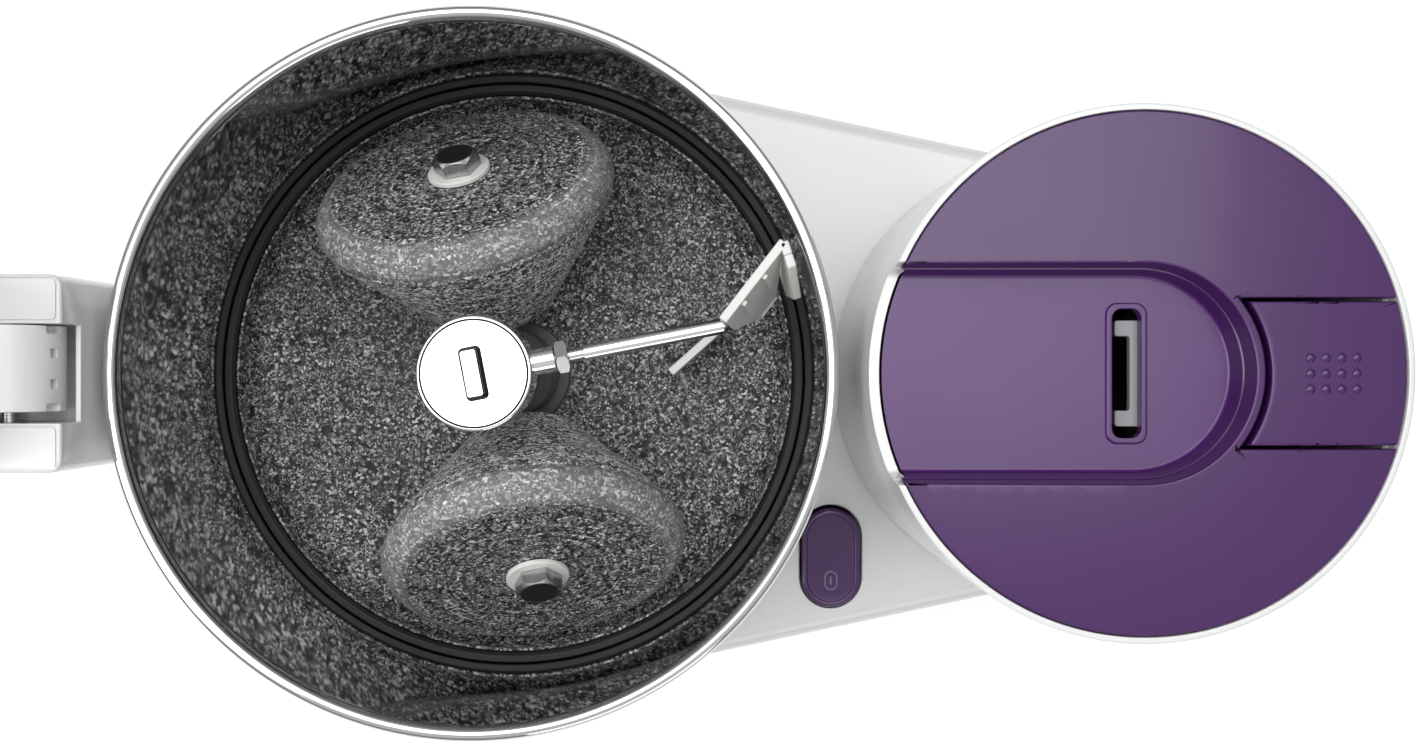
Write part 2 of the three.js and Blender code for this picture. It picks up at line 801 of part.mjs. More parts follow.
function latchSlide() {
  const bar = slotInner + tongueInset + tongueThickness - latchReach;
  const top = latchTop + cutOverrun;
  const bottom = latchBottom - cutOverrun;
  const half = latchHalfWidth;
  const mouth = latchMouthHalfWidth;
  const windowHalf = wedgeHalfWidth + runningGap;
  const window = sidePrism([
    [wedgeBack - buttonTravel - runningGap, bottom],
    [wedgeFace + bottom - latchTop + runningGap, bottom],
    [wedgeFace + top - latchTop + runningGap, top],
    [wedgeBack - buttonTravel - runningGap, top],
  ], -windowHalf, windowHalf);
  return block(bar - latchArmLength, latchOuter, -half, half, latchBottom, latchTop)
    .subtract(block(bar - latchArmLength - cutOverrun, bar, -mouth, mouth, bottom, top))
    .subtract(block(
      bar + latchBarWidth, bar + latchBarWidth + latchBackLength, -mouth, mouth, bottom, top,
    ))
    .subtract(window);
}

// The least distance between points of a coil that are over half a turn apart.
function leastTurnDistance(points, stepsPerTurn) {
  let least = Infinity;
  for (let i = 0; i < points.length; i++) {
    for (let j = i + 1 + stepsPerTurn / 2; j < points.length; j++) {
      least = Math.min(least, points[i].distanceTo(points[j]));
    }
  }
  return least;
}

// A coil of one unbroken wire that stands on the rail seat under the button.
function buttonSpring() {
  const bottom = latchBottom + springWire / 2;
  const top = towerHeight - buttonSkirtDepth - seatGap - springWire / 2;
  class Helix extends THREE.Curve {
    getPoint(share, target = new THREE.Vector3()) {
      const turn = share * springTurns * 2 * Math.PI;
      return target.set(
        springPlace + springRadius * Math.cos(turn),
        springRadius * Math.sin(turn),
        bottom + (top - bottom) * share,
      );
    }
  }
  const section = new THREE.Shape(
    arc(0, 0, springWire / 2, 0, 2 * Math.PI, springWireFacets).slice(1),
  );
  const path = new Helix();
  const steps = springTurns * springStepsPerTurn;
  const gap = leastTurnDistance(path.getPoints(steps), springStepsPerTurn) - springWire;
  console.log('button spring, least gap to itself, mm:', gap.toFixed(2));
  return solidOf(new THREE.ExtrudeGeometry(section, { steps, extrudePath: path }));
}

// Hinge post

function hingePost() {
  const bottom = bodyHeight + seatGap;
  const slotFloor = pinHeight - knuckleRadius - 2 * runningGap;
  const over = postTop + cutOverrun;
  const slotHalf = postSlotWidth / 2;
  const wallTop = postTop - postFrontWallDrop;
  const hollow = prism(
    postOutline(bodyWall), bottom - cutOverrun, slotFloor - postSlotFloorWall,
  );
  const bore = pinRadius + seatGap;
  const pinStart = -postWidth / 2 + pinEndWall;
  return prism(postOutline(0), bottom, postTop)
    .subtract(hollow)
    .subtract(block(
      pinBackPlace(), postFront - postFrontWall, -slotHalf, slotHalf, slotFloor, over,
    ))
    .subtract(block(
      postFront - postFrontWall - cutOverrun, postFront + cutOverrun, -slotHalf, slotHalf,
      wallTop, over,
    ))
    .subtract(crossDisc(
      bore, pinStart - seatGap, postWidth / 2 + cutOverrun, smallFacets, pinPlace, pinHeight,
    ));
}

function hingePin() {
  const half = postWidth / 2;
  return crossDisc(pinRadius, pinEndWall - half, half - seatGap, smallFacets, 0, 0);
}

// Drive

function spindle() {
  return disc(spindleRadius, pulleyBottom, wellFloorHeight + seatGap + dogHeight, smallFacets);
}

function bearingTops() {
  const upper = wellFloorBottom - seatGap - seatGap - runningGap;
  return [upper, upper - bearingSpacing];
}

function bearing(top) {
  return ring(spindleRadius + seatGap, bearingRadius, top - bearingThickness, top, smallFacets);
}

function bearingHousing() {
  const top = wellFloorBottom - seatGap;
  const inner = bearingRadius + seatGap;
  const outer = inner + housingWall;
  const [upper, lower] = bearingTops();
  return ring(inner, outer, top - housingHeight, top, hiddenFacets)
    .add(ring(inner, housingFlangeRadius, top - housingFlangeThickness, top, hiddenFacets))
    .add(ring(
      inner - housingLipWidth, inner + housingWall / 2,
      lower + seatGap, upper - bearingThickness - seatGap, hiddenFacets,
    ));
}

function spindleSeal() {
  const inner = spindleRadius + seatGap;
  const flangeBottom = wellFloorHeight + seatGap;
  return turned([
    [inner, wellFloorBottom], [sealLipRadius, wellFloorBottom], [sealLipRadius, flangeBottom],
    [sealFlangeRadius, flangeBottom], [sealFlangeRadius, flangeBottom + seatGap],
    [inner, flangeBottom + sealFlangeThickness - seatGap],
  ], smallFacets);
}

function drivePulley() {
  const top = pulleyBottom + pulleyWidth;
  const bore = spindleRadius + seatGap;
  const rimInner = pulleyRadius - pulleyRimThickness;
  const web = pulleyBottom + pulleyWeb;
  return turned([
    [bore, pulleyBottom], [pulleyRadius, pulleyBottom], [pulleyRadius, top], [rimInner, top],
    [rimInner, web], [pulleyHubRadius, web], [pulleyHubRadius, top + pulleyHubRise],
    [bore, top + pulleyHubRise],
  ], largeFacets);
}

function driveBelt() {
  const inner = 2 * seatGap;
  const outer = inner + beltThickness;
  const bottom = pulleyBottom + (pulleyWidth - beltWidth) / 2;
  const loop = (extra) => beltOutline(pulleyRadius + extra, motorPulleyRadius + extra, towerAxis);
  return prism(loop(outer), bottom, bottom + beltWidth)
    .subtract(prism(loop(inner), bottom - cutOverrun, bottom + beltWidth + cutOverrun));
}

function dogBottom() {
  return wellFloorHeight + sealFlangeThickness + 2 * seatGap;
}

function driveCoupler() {
  const bottom = dogBottom();
  return disc(dogRadius, bottom, bottom + dogHeight, 6)
    .subtract(disc(spindleRadius + seatGap, 0, bottom + dogHeight + cutOverrun, smallFacets));
}

function drumCoupler() {
  const top = drumBottomHeight - seatGap;
  return disc(couplerRadius, top - couplerThickness, top, hiddenFacets)
    .subtract(disc(dogRadius + runningGap, 0, top + cutOverrun, 6));
}

// Motor, about the tower's axis

function statorBottom() {
  return motorBottom + bellDepth;
}

function motorStator() {
  const bottom = statorBottom();
  return ring(
    statorBore, motorRadius - motorWall - seatGap, bottom, bottom + statorHeight, hiddenFacets,
  );
}

function motorWinding() {
  const bottom = statorBottom() - seatGap;
  const top = statorBottom() + statorHeight + seatGap;
  const outer = statorBore - seatGap;
  const inner = outer - windingThickness;
  const flare = outer + windingFlare;
  return turned([
    [inner, bottom - windingRise], [flare, bottom - windingRise], [flare, bottom],
    [outer, bottom], [outer, top], [flare, top], [flare, top + windingRise],
    [inner, top + windingRise],
  ], hiddenFacets);
}

// An end bell as a cup that grips the stator, opening upwards before it is turned over.
function endBell() {
  const grip = (statorHeight - statorShowing) / 2;
  const inner = motorRadius - motorWall;
  return turned([
    [motorShaftRadius + runningGap, 0], [motorRadius, 0], [motorRadius, bellDepth + grip],
    [inner, bellDepth + grip], [inner, motorWall], [motorShaftRadius + runningGap, motorWall],
  ], hiddenFacets);
}

function motorPlate() {
  const radius = towerFootRadius - bodyWall - seatGap;
  const top = motorPlateHeight + motorPlateThickness;
  return ring(motorPlateBore, radius, motorPlateHeight, top, hiddenFacets);
}

function motorTop() {
  return statorBottom() + statorHeight + bellDepth;
}

function motorShaft() {
  const top = motorTop() + runningGap + fanThickness + fanHeight;
  return disc(motorShaftRadius, pulleyBottom, top, smallFacets);
}

function rotorCore() {
  const outer = statorBore - seatGap - windingThickness - runningGap;
  const bottom = statorBottom();
  return ring(motorShaftRadius + seatGap, outer, bottom, bottom + statorHeight, hiddenFacets);
}

function motorFan() {
  const bottom = motorTop() + runningGap;
  const top = bottom + fanThickness;
  const bore = motorShaftRadius + seatGap;
  let fan = ring(bore, fanRadius, bottom, top, hiddenFacets)
    .add(ring(bore, fanHubRadius, bottom, top + fanHeight / 2, hiddenFacets));
  for (let i = 0; i < fanBlades; i++) {
    const blade = new THREE.BoxGeometry(fanRadius - fanHubRadius, fanBladeThickness, fanHeight);
    const middle = (fanRadius + fanHubRadius) / 2 - fanBladeThickness;
    blade.translate(middle, 0, top + fanHeight / 2 - fanBladeRoot);
    blade.rotateZ((2 * Math.PI * i) / fanBlades);
    fan = fan.add(solidOf(blade));
  }
  return fan;
}

function motorPulley() {
  return ring(
    motorShaftRadius + seatGap, motorPulleyRadius, pulleyBottom, pulleyBottom + pulleyWidth,
    hiddenFacets,
  );
}

function runCapacitor() {
  const top = basePlateTop + seatGap + capacitorHeight;
  const radius = capacitorRadius;
  return turned([
    [0, basePlateTop + seatGap], [radius, basePlateTop + seatGap], [radius, top - capacitorEdge],
    [radius - capacitorEdge, top], [0, top],
  ], smallFacets);
}

// Power switch, about its own middle

function switchRocker() {
  const pivot = bodyHeight - rockerPivotDrop;
  const place = new THREE.Matrix4().makeRotationX(rockerTilt);
  const rise = bodyHeight + rockerRise - pivot;
  const low = -rockerDepth;
  const edge = rockerRise / 2;
  const rocker = stacked([
    [ovalOutline(switchWidth - edge, switchLength - edge, mediumFacets), low],
    [ovalOutline(switchWidth, switchLength, mediumFacets), low + edge],
    [ovalOutline(switchWidth, switchLength, mediumFacets), rise - edge],
    [ovalOutline(switchWidth - edge, switchLength - edge, mediumFacets), rise],
  ], place);
  return rocker;
}

function switchBody() {
  const top = bodyHeight - bodyWall - seatGap;
  const bottom = top - switchBodyDepth;
  const wide = switchWidth + 2 * runningGap + 2 * switchBodyRim;
  const long = switchLength + 2 * runningGap + 2 * switchBodyRim;
  const room = ovalOutline(wide - 2 * switchBodyRim, long - 2 * switchBodyRim, mediumFacets);
  return prism(ovalOutline(wide, long, mediumFacets), bottom, top)
    .subtract(prism(room, top - switchCupDepth, top + cutOverrun));
}

function cordGrommet() {
  const outside = towerFootRadius + seatGap;
  const wallInside = (towerFootRadius - bodyWall) * Math.cos(Math.PI / largeFacets);
  const inside = Math.sqrt(wallInside ** 2 - grommetRadius ** 2) - seatGap;
  return turned([
    [grommetBore, inside - grommetFlange], [grommetRadius, inside - grommetFlange],
    [grommetRadius, inside], [grommetNeckRadius, inside], [grommetNeckRadius, outside],
    [grommetRadius, outside], [grommetRadius, outside + grommetFlange / 2],
    [grommetNeckRadius, outside + grommetFlange], [grommetBore, outside + grommetFlange],
  ], smallFacets);
}

// Drum

function drumShell() {
  const quarter = Math.PI / 2;
  const cornerRadius = drumOuterRadius - drumCornerRadius;
  const cornerHeight = drumBottomHeight + drumCornerRadius;
  const beadPlace = drumRadius + rimBeadRadius;
  const beadHeight = drumRimHeight - rimBeadRadius;
  const beadStart = Math.PI - Math.acos((beadPlace - drumOuterRadius) / rimBeadRadius);
  return turned([
    [0, drumBottomHeight],
    ...profileArc(cornerRadius, cornerHeight, drumCornerRadius, -quarter, 0, filletFacets),
    ...profileArc(beadPlace, beadHeight, rimBeadRadius, -beadStart, Math.PI, beadFacets),
    ...profileArc(
      cornerRadius, cornerHeight, drumCornerRadius - drumWall, 0, -quarter, filletFacets,
    ),
    [0, drumBottomHeight + drumWall],
  ], largeFacets);
}

function sealBottom() {
  return stoneLipHeight + sealEdge + seatGap - sealThickness;
}

function stoneBase() {
  const quarter = Math.PI / 2;
  const cornerRadius = drumOuterRadius - drumCornerRadius;
  const cornerHeight = drumBottomHeight + drumCornerRadius;
  const bottom = drumBottomHeight + drumWall + seatGap;
  const edge = drumCornerRadius - drumWall - seatGap;
  const shoulder = sealBottom() - seatGap;
  const curve = stoneLipHeight - stoneFloorHeight;
  return turned([
    [stoneBore, bottom],
    ...profileArc(cornerRadius, cornerHeight, edge, -quarter, 0, filletFacets),
    [drumRadius - seatGap, shoulder], [dishRadius + stoneLipWidth, shoulder],
    [dishRadius + stoneLipWidth, stoneLipHeight],
    ...profileArc(dishRadius - curve, stoneLipHeight, curve, 0, -quarter, 2 * filletFacets),
    [stoneBore, stoneFloorHeight],
  ], largeFacets);
}

function sealRing() {
  const bottom = sealBottom();
  const top = bottom + sealThickness;
  const outer = drumRadius - seatGap;
  return turned([
    [sealInnerRadius, bottom], [outer, bottom], [outer, top],
    [sealInnerRadius + sealEdge, top], [sealInnerRadius, top - sealEdge],
  ], largeFacets);
}

function centrePost() {
  const bottom = drumBottomHeight + drumWall + seatGap;
  const footTop = bottom + postFootHeight;
  const top = hubTubeTop - postRadius / 4;
  return turned([
    [0, bottom], [postFootRadius, bottom], [postFootRadius, footTop],
    [postRadius, footTop + postFlareHeight], [postRadius, top - postRadius / 4],
    [postRadius - postRadius / 4, top], [0, top],
  ], smallFacets);
}

// Hub

function centreBush() {
  const inner = postRadius + seatGap;
  const bottom = stoneFloorHeight + hubFlangeThickness;
  return ring(inner, inner + bushThickness, bottom, hubTubeTop - hubFlangeThickness, smallFacets);
}

// The sizes of a roller, along its axle from the tip of its cone.
function rollerSizes() {
  const slope = Math.tan(rollerTilt);
  const room = dishRadius - rollerEdgeGap - rollerApexOffset - rollerEdgeRadius;
  const edgeCentre = Math.sin(rollerTilt) * (room - rollerEdgeRadius / slope);
  const edgeAlong = (edgeCentre + rollerEdgeRadius / Math.cos(rollerTilt)) / slope;
  return { slope, edgeCentre, edgeAlong, face: edgeAlong + rollerEdgeRadius };
}

// Places a roller's own frame in the hub's: its +Z runs out and up along the axle.
function rollerFrame(side) {
  const outward = new THREE.Vector3(0, side * Math.cos(rollerTilt), Math.sin(rollerTilt));
  const turn = new THREE.Quaternion().setFromUnitVectors(new THREE.Vector3(0, 0, 1), outward);
  const tip = new THREE.Vector3(0, side * rollerApexOffset, stoneFloorHeight + seatGap);
  return new THREE.Matrix4().compose(tip, turn, new THREE.Vector3(1, 1, 1));
}

function axleStart() {
  return (axleRoot - rollerApexOffset) / Math.cos(rollerTilt);
}

function hubBody() {
  const flangeBottom = stoneFloorHeight + runningGap;
  const flangeTop = flangeBottom + hubFlangeThickness;
  const blockBottom = stoneFloorHeight + hubBlockLift;
  const blockTop = blockBottom + hubBlockHeight;
  const neckTop = blockTop + (hubBlockRadius - hubTubeRadius);
  let body = turned([
    [hubTubeInner, flangeBottom], [hubFlangeRadius, flangeBottom], [hubFlangeRadius, flangeTop],
    [hubNeckRadius, flangeTop], [hubNeckRadius, blockBottom], [hubBlockRadius, blockBottom],
    [hubBlockRadius, blockTop], [hubTubeRadius, neckTop], [hubTubeRadius, hubTubeTop],
    [hubTubeInner, hubTubeTop],
  ], mediumFacets);
  const bossEnd = rollerSmallEnd - 2 * runningGap;
  for (const side of [-1, 1]) {
    const frame = rollerFrame(side);
    body = body.add(disc(axleBossRadius, hubTubeInner, bossEnd, smallFacets, frame));
  }
  body = body.subtract(disc(hubTubeInner, 0, hubTubeTop + cutOverrun, mediumFacets));
  for (const side of [-1, 1]) {
    body = body.subtract(disc(
      axleRadius + seatGap, axleStart() - seatGap, bossEnd + cutOverrun, smallFacets,
      rollerFrame(side),
    ));
  }
  return body.subtract(disc(2 * hubFlangeRadius, 0, flangeBottom, mediumFacets));
}

function hubCap() {
  const quarter = Math.PI / 2;
  const inner = hubTubeRadius + seatGap;
  const ceiling = hubTubeTop + seatGap;
  const sideTop = hubCapBottom + hubCapSide;
  const rise = hubCapTop - sideTop;
  const dome = arc(0, 0, 1, 0, quarter, 2 * filletFacets).map((point) => [
    hubCapRadius * Math.sqrt(point.x), sideTop + rise * point.y,
  ]);
  dome[dome.length - 1][0] = 0;
  const lugBottom = hubCapTop - lugFoot;
  const half = lugWidth / 2;
  const lug = roundedOutline(-half, half, -lugLength / 2, lugLength / 2, half - seatGap);
  const top = hubCapTop + lugHeight;
  const lugBody = stacked([
    [lug, lugBottom], [lug, top - half / 2],
    [lug.map((point) => point.clone().multiplyScalar(1 - half / lugLength)), top],
  ]);
  return turned([
    [inner, hubCapBottom], [hubCapRadius, hubCapBottom], ...dome.slice(0, -1), [0, hubCapTop],
    [0, ceiling], [inner, ceiling],
  ], mediumFacets)
    .add(lugBody)
    .subtract(scraperBar(socketRadius + seatGap, hubCapRadius - socketSetback - seatGap,
      hubCapRadius + cutOverrun, smallFacets));
}

// A bar along the hub's +X at the scraper's height.
function scraperBar(radius, from, to, facets) {
  const place = new THREE.Matrix4().makeRotationY(Math.PI / 2).setPosition(0, 0, scraperHeight);
  return disc(radius, from, to, facets, place);
}

function socketEnd() {
  return hubCapRadius - socketSetback + socketLength;
}

function scraperSocket() {
  return scraperBar(socketRadius, hubCapRadius - socketSetback, socketEnd(), smallFacets)
    .subtract(scraperBar(
      threadRadius + seatGap, socketEnd() - socketBoreDepth, socketEnd() + cutOverrun, smallFacets,
    ));
}

function scraperLockNut() {
  const start = socketEnd() + seatGap;
  return scraperBar(lockNutRadius, start, start + lockNutLength, 6)
    .subtract(scraperBar(threadRadius + seatGap, 0, start + cutOverrun + lockNutLength, smallFacets));
}

function scraperRod() {
  const start = socketEnd() - socketBoreDepth + seatGap;
  return scraperBar(threadRadius, start, start + threadLength, smallFacets)
    .add(scraperBar(rodRadius, start, rodReach, smallFacets));
}

function planPoint(shares) {
  return new THREE.Vector2(shares[0] * drumRadius, shares[1] * drumRadius);
}

// The outline of a thin upright plate between two plan points.
function plateOutline(from, to) {
  const along = to.clone().sub(from).normalize();
  const half = new THREE.Vector2(along.y, -along.x).multiplyScalar(bladeThickness / 2);
  const corner = (point, side) => point.clone().addScaledVector(half, side);
  return [corner(from, 1), corner(to, 1), corner(to, -1), corner(from, -1)];
}

function scraperBlade() {
  const inner = planPoint(bladeInnerShares);
  const outer = planPoint(bladeOuterShares);
  const lean = planPoint(bladeLeanShares);
  const [innerFoot, outerFoot] = bladeFootShares.map((share) =>
    inner.clone().lerp(outer, share).add(lean),
  );
  const top = scraperHeight + bladeTopRise;
  const foot = stoneLipHeight + bladeLipGap;
  const fold = foot + (top - foot) * bladeFoldShare;
  const wingBottom = stoneFloorHeight + bladeFloorGap;
  const wingTop = wingBottom + wingHeight;
  const plate = stacked([
    [plateOutline(innerFoot, outerFoot), foot],
    [plateOutline(innerFoot, outerFoot), fold],
    [plateOutline(inner, outer), top],
  ]);
  const start = planPoint(wingStartShares);
  const wing = prism(plateOutline(start, inner), wingBottom, wingTop);
  const web = prism(plateOutline(inner, innerFoot), foot, wingTop);
  const endTop = planPoint(endWingTopShares);
  const endWing = planPoint(endWingEndShares);
  const end = stacked([
    [plateOutline(endTop, endTop.clone().lerp(endWing, 1 / 3)), top - endWingDrop],
    [plateOutline(endTop, endWing), top],
  ]);
  const bridge = prism(plateOutline(outer, endTop), top - endWingDrop / 2, top);
  const boss = scraperBar(
    bladeBossRadius, rodReach - bladeBossLength, rodReach + bladeThickness / 2, smallFacets,
  );
  return plate.add(wing).add(web).add(end).add(bridge).add(boss)
    .subtract(scraperBar(rodRadius + seatGap, 0, rodReach + seatGap, smallFacets));
}

// Rollers, in their own frames

function rollerStone() {
  const { slope, edgeCentre, edgeAlong, face } = rollerSizes();
  const bore = rollerBushRadius + seatGap;
  const small = rollerSmallEnd * slope;
  return turned([
    [bore, rollerSmallEnd], [small - rollerSmallEdge, rollerSmallEnd],
    [small + rollerSmallEdge * slope, rollerSmallEnd + rollerSmallEdge],
    ...profileArc(
      edgeCentre, edgeAlong, rollerEdgeRadius, -rollerTilt, Math.PI / 2, 2 * filletFacets,
    ),
    [bore, face],
  ], largeFacets);
}

function rollerBush() {
  const { face } = rollerSizes();
  const bore = axleRadius + seatGap;
  const flange = face + seatGap;
  return turned([
    [bore, rollerSmallEnd], [rollerBushRadius, rollerSmallEnd], [rollerBushRadius, flange],
    [rollerBushFlange, flange], [rollerBushFlange, flange + rollerBushFlangeThickness],
    [bore, flange + rollerBushFlangeThickness],
  ], smallFacets);
}

function axleNutBottom() {
  return rollerSizes().face + rollerBushFlangeThickness + 2 * seatGap;
}

function axle() {
  const end = axleNutBottom() + axleNutLength - axleNutChamfer;
  return disc(axleRadius, axleStart(), end, smallFacets);
}

// A blind six-sided nut over the axle's end.
function axleNut() {
  const bottom = axleNutBottom();
  const top = bottom + axleNutLength;
  const face = axleNutRadius - axleNutChamfer;
  const blank = turned([
    [0, bottom], [axleNutRadius, bottom], [axleNutRadius, top - axleNutChamfer / 2],
    [face, top + axleNutChamfer / 2], [0, top + axleNutChamfer / 2],
  ], smallFacets);
  return disc(axleNutRadius, bottom, top + axleNutChamfer, 6)
    .intersect(blank)
    .subtract(disc(axleRadius + seatGap, bottom - cutOverrun, top - axleNutChamfer + seatGap,
      smallFacets));
}

// Lock arm, closed, from its pin along +X

function armOutline(inset) {
  const quarter = Math.PI / 2;
  const half = armHalfWidth - inset;
  const start = pinSetback + armPostGap + inset;
  const corner = armCornerRadius;
  return [
    ...arc(armReach, 0, half, -quarter, quarter, arcSteps(-quarter, quarter, largeFacets)),
    ...arc(start + corner, half - corner, corner, quarter, 2 * quarter, filletFacets),
    ...arc(start + corner, corner - half, corner, 2 * quarter, 3 * quarter, filletFacets),
  ];
}

function rootSides() {
  return [rootOffset - rootWidth / 2, rootOffset + rootWidth / 2];
}

function tonguePlace() {
  return armReach + slotInner + tongueInset;
}

function armShell() {
  const under = -armPinRise;
  const top = armTop - armCoverThickness - seatGap;
  const neckEnd = pinSetback + armPostGap + armCornerRadius;
  const sloped = rootForward + rootSlope;
  const neck = sidePrism([
    [-rootHalf, -rootHalf], [rootForward, -rootHalf], [sloped, under], [neckEnd, under],
    [neckEnd, top], [-rootHalf, top],
  ], ...rootSides());
  const half = tongueHalfWidth + seatGap;
  const tongue = tonguePlace();
  return stacked([
    [armOutline(armEdge), under], [armOutline(armEdge / 3), under + armEdge / 3],
    [armOutline(0), under + armEdge], [armOutline(0), top],
  ])
    .subtract(prism(armOutline(armWall), under + armWall, top + cutOverrun))
    .add(neck)
    .subtract(crossDisc(pinRadius + seatGap, -postWidth, postWidth, smallFacets, 0, 0))
    .subtract(block(
      tongue - seatGap, tongue + tongueThickness + seatGap, -half, half,
      under - cutOverrun, under + armWall + cutOverrun,
    ));
}

function armTopCover() {
  const bottom = armTop - armCoverThickness;
  const neckEnd = pinSetback + armPostGap + armCornerRadius;
  const [left, right] = rootSides();
  return stacked([
    [armOutline(0), bottom], [armOutline(0), armTop - armEdge],
    [armOutline(armEdge / 3), armTop - armEdge / 3], [armOutline(armEdge), armTop],
  ]).add(block(-rootHalf, neckEnd, left, right, bottom, armTop));
}

function armKnuckle() {
  const [left, right] = rootSides();
  const flat = -rootHalf - seatGap;
  const below = -knuckleRadius - cutOverrun;
  const middle = (left + right) / 2;
  const holeTop = -knuckleRadius + knuckleHole;
  let knuckle = crossDisc(knuckleRadius, left, right, mediumFacets, 0, 0)
    .intersect(block(-knuckleRadius, knuckleRadius, left, right, below, flat));
  for (const side of [-1, 1]) {
    const hole = middle + (side * knuckleHoleSpacing) / 2;
    const end = side < 0 ? left : right;
    const notch = [end - side * knuckleNotchDepth, end + side * cutOverrun].sort((a, b) => a - b);
    knuckle = knuckle
      .subtract(block(
        -knuckleHole / 2, knuckleHole / 2, hole - knuckleHole / 2, hole + knuckleHole / 2,
        below, holeTop,
      ))
      .subtract(block(
        -knuckleNotchWidth, knuckleNotchWidth, notch[0], notch[1], below, holeTop,
      ));
  }
  return knuckle;
}

function lugSocket() {
  const top = -armPinRise - seatGap;
  const bottom = hubCapTop + lugHeight - lugSocketLap - pinHeight;
  const ceiling = hubCapTop + lugHeight + runningGap - pinHeight;
  const halfWidth = lugWidth / 2 + runningGap;
  const halfLength = lugLength / 2 + runningGap;
  const place = new THREE.Matrix4().makeRotationZ(hubTurn).setPosition(-pinPlace, 0, 0);
  const groove = roundedOutline(-halfWidth, halfWidth, -halfLength, halfLength, halfWidth / 2);
  return disc(lugSocketRadius, bottom, top, mediumFacets, shift(-pinPlace, 0, 0))
    .subtract(prism(groove, bottom - cutOverrun, ceiling, place));
}

function latchTongue() {
  const start = tonguePlace();
  const end = start + tongueThickness;
  const grooveBottom = latchBottom - runningGap / 2 - pinHeight;
  const grooveTop = latchTop + runningGap / 2 - pinHeight;
  const half = tongueHalfWidth;
  return block(start, end, -half, half, grooveBottom - tongueTipDepth, tongueRoot - armPinRise)
    .subtract(block(
      end - tongueGroove, end + cutOverrun, -half - cutOverrun, half + cutOverrun,
      grooveBottom, grooveTop,
    ));
}

// Finishes

const whitePlastic = { color: 0xe4e5e7, roughness: 0.3, metalness: 0 };
const palePlastic = { color: 0xd5d7d7, roughness: 0.4, metalness: 0 };
const purplePlastic = { color: 0x5b3f78, roughness: 0.25, metalness: 0 };
const granite = { color: 0x3c3d40, roughness: 0.65, metalness: 0 };
const rollerGranite = { color: 0x56575a, roughness: 0.6, metalness: 0 };
const polishedSteel = { color: 0xc9cbce, roughness: 0.12, metalness: 1 };
const steel = { color: 0xa9acb0, roughness: 0.35, metalness: 1 };
const aluminium = { color: 0xb9bbbd, roughness: 0.45, metalness: 1 };
const blackRubber = { color: 0x17181a, roughness: 0.8, metalness: 0 };
const blackPlastic = { color: 0x1c1d1f, roughness: 0.5, metalness: 0 };
const greyPlastic = { color: 0x8d9094, roughness: 0.5, metalness: 0 };
const darkPlastic = { color: 0x3a3c3f, roughness: 0.5, metalness: 0 };
const nylon = { color: 0xdddeda, roughness: 0.45, metalness: 0 };
const copper = { color: 0x9c5a34, roughness: 0.4, metalness: 1 };

// Assembly

const grinder = new THREE.Group();

function group(parent, ...children) {
  const made = new THREE.Group();
  if (children.length) made.add(...children);
  parent.add(made);
  return made;
}

group(
  grinder,
  piece('body_shell', bodyShell(), whitePlastic),
  piece('drum_well', drumWell(), whitePlastic),
  piece('base_plate', basePlate(), darkPlastic),
  piece('hinge_post', hingePost(), whitePlastic),
  piece('bearing_housing', bearingHousing(), aluminium),
  piece('bearing_upper', bearing(bearingTops()[0]), steel),
  piece('bearing_lower', bearing(bearingTops()[1]), steel),
  piece('spindle_seal', spindleSeal(), blackRubber),
  piece('drive_belt', driveBelt(), blackRubber),
);
footPlaces().forEach(([x, y], i) => {
  const rubberFoot = piece(`foot_${i + 1}`, foot(), blackRubber);
  rubberFoot.position.set(x, y, 0);
  grinder.add(rubberFoot);
});

const pin = piece('hinge_pin', hingePin(), steel);
pin.position.set(pinPlace, 0, pinHeight);
grinder.add(pin);

const capacitor = piece('run_capacitor', runCapacitor(), aluminium);
const capacitorDistance = wellRadius + bodyWall + capacitorGap + capacitorRadius;
capacitor.position.set(
  capacitorDistance * Math.cos(capacitorTurn), capacitorDistance * Math.sin(capacitorTurn), 0,
);
grinder.add(capacitor);

const powerSwitch = group(grinder, piece('switch_body', switchBody(), blackPlastic));
powerSwitch.applyMatrix4(switchPlace());
const rocker = piece('switch_rocker', switchRocker(), purplePlastic);
rocker.position.z = bodyHeight - rockerPivotDrop;
powerSwitch.add(rocker);

const grommet = piece('cord_grommet', cordGrommet(), blackRubber);
grommet.applyMatrix4(grommetPlace());
grinder.add(grommet);

const lowerBell = piece('motor_end_lower', endBell(), aluminium);
lowerBell.position.z = motorBottom;
const upperBell = piece('motor_end_upper', endBell(), aluminium);
upperBell.rotation.x = Math.PI;
upperBell.position.z = motorTop();
const tower = group(
  grinder,
  piece('tower_shell', towerShell(), whitePlastic),
  piece('tower_cap', towerCap(), purplePlastic),
  piece('release_button', releaseButton(), purplePlastic),
  piece('latch_slide', latchSlide(), greyPlastic),
  piece('button_spring', buttonSpring(), steel),
  piece('motor_stator', motorStator(), steel),
  piece('motor_winding', motorWinding(), copper),
  lowerBell,
  upperBell,
  piece('motor_plate', motorPlate(), aluminium),
  piece('motor_shaft', motorShaft(), steel),
  piece('motor_rotor_core', rotorCore(), aluminium),
  piece('motor_fan', motorFan(), blackPlastic),
  piece('motor_pulley', motorPulley(), steel),
);
tower.position.x = towerAxis;

group(
  grinder,
  piece('spindle', spindle(), steel),
  piece('drive_pulley', drivePulley(), blackPlastic),
  piece('drive_coupler', driveCoupler(), steel),
  piece('drum_shell', drumShell(), polishedSteel),
  piece('drum_coupler', drumCoupler(), aluminium),
  piece('stone_base', stoneBase(), granite),
  piece('seal_ring', sealRing(), blackRubber),
  piece('centre_post', centrePost(), steel),
);

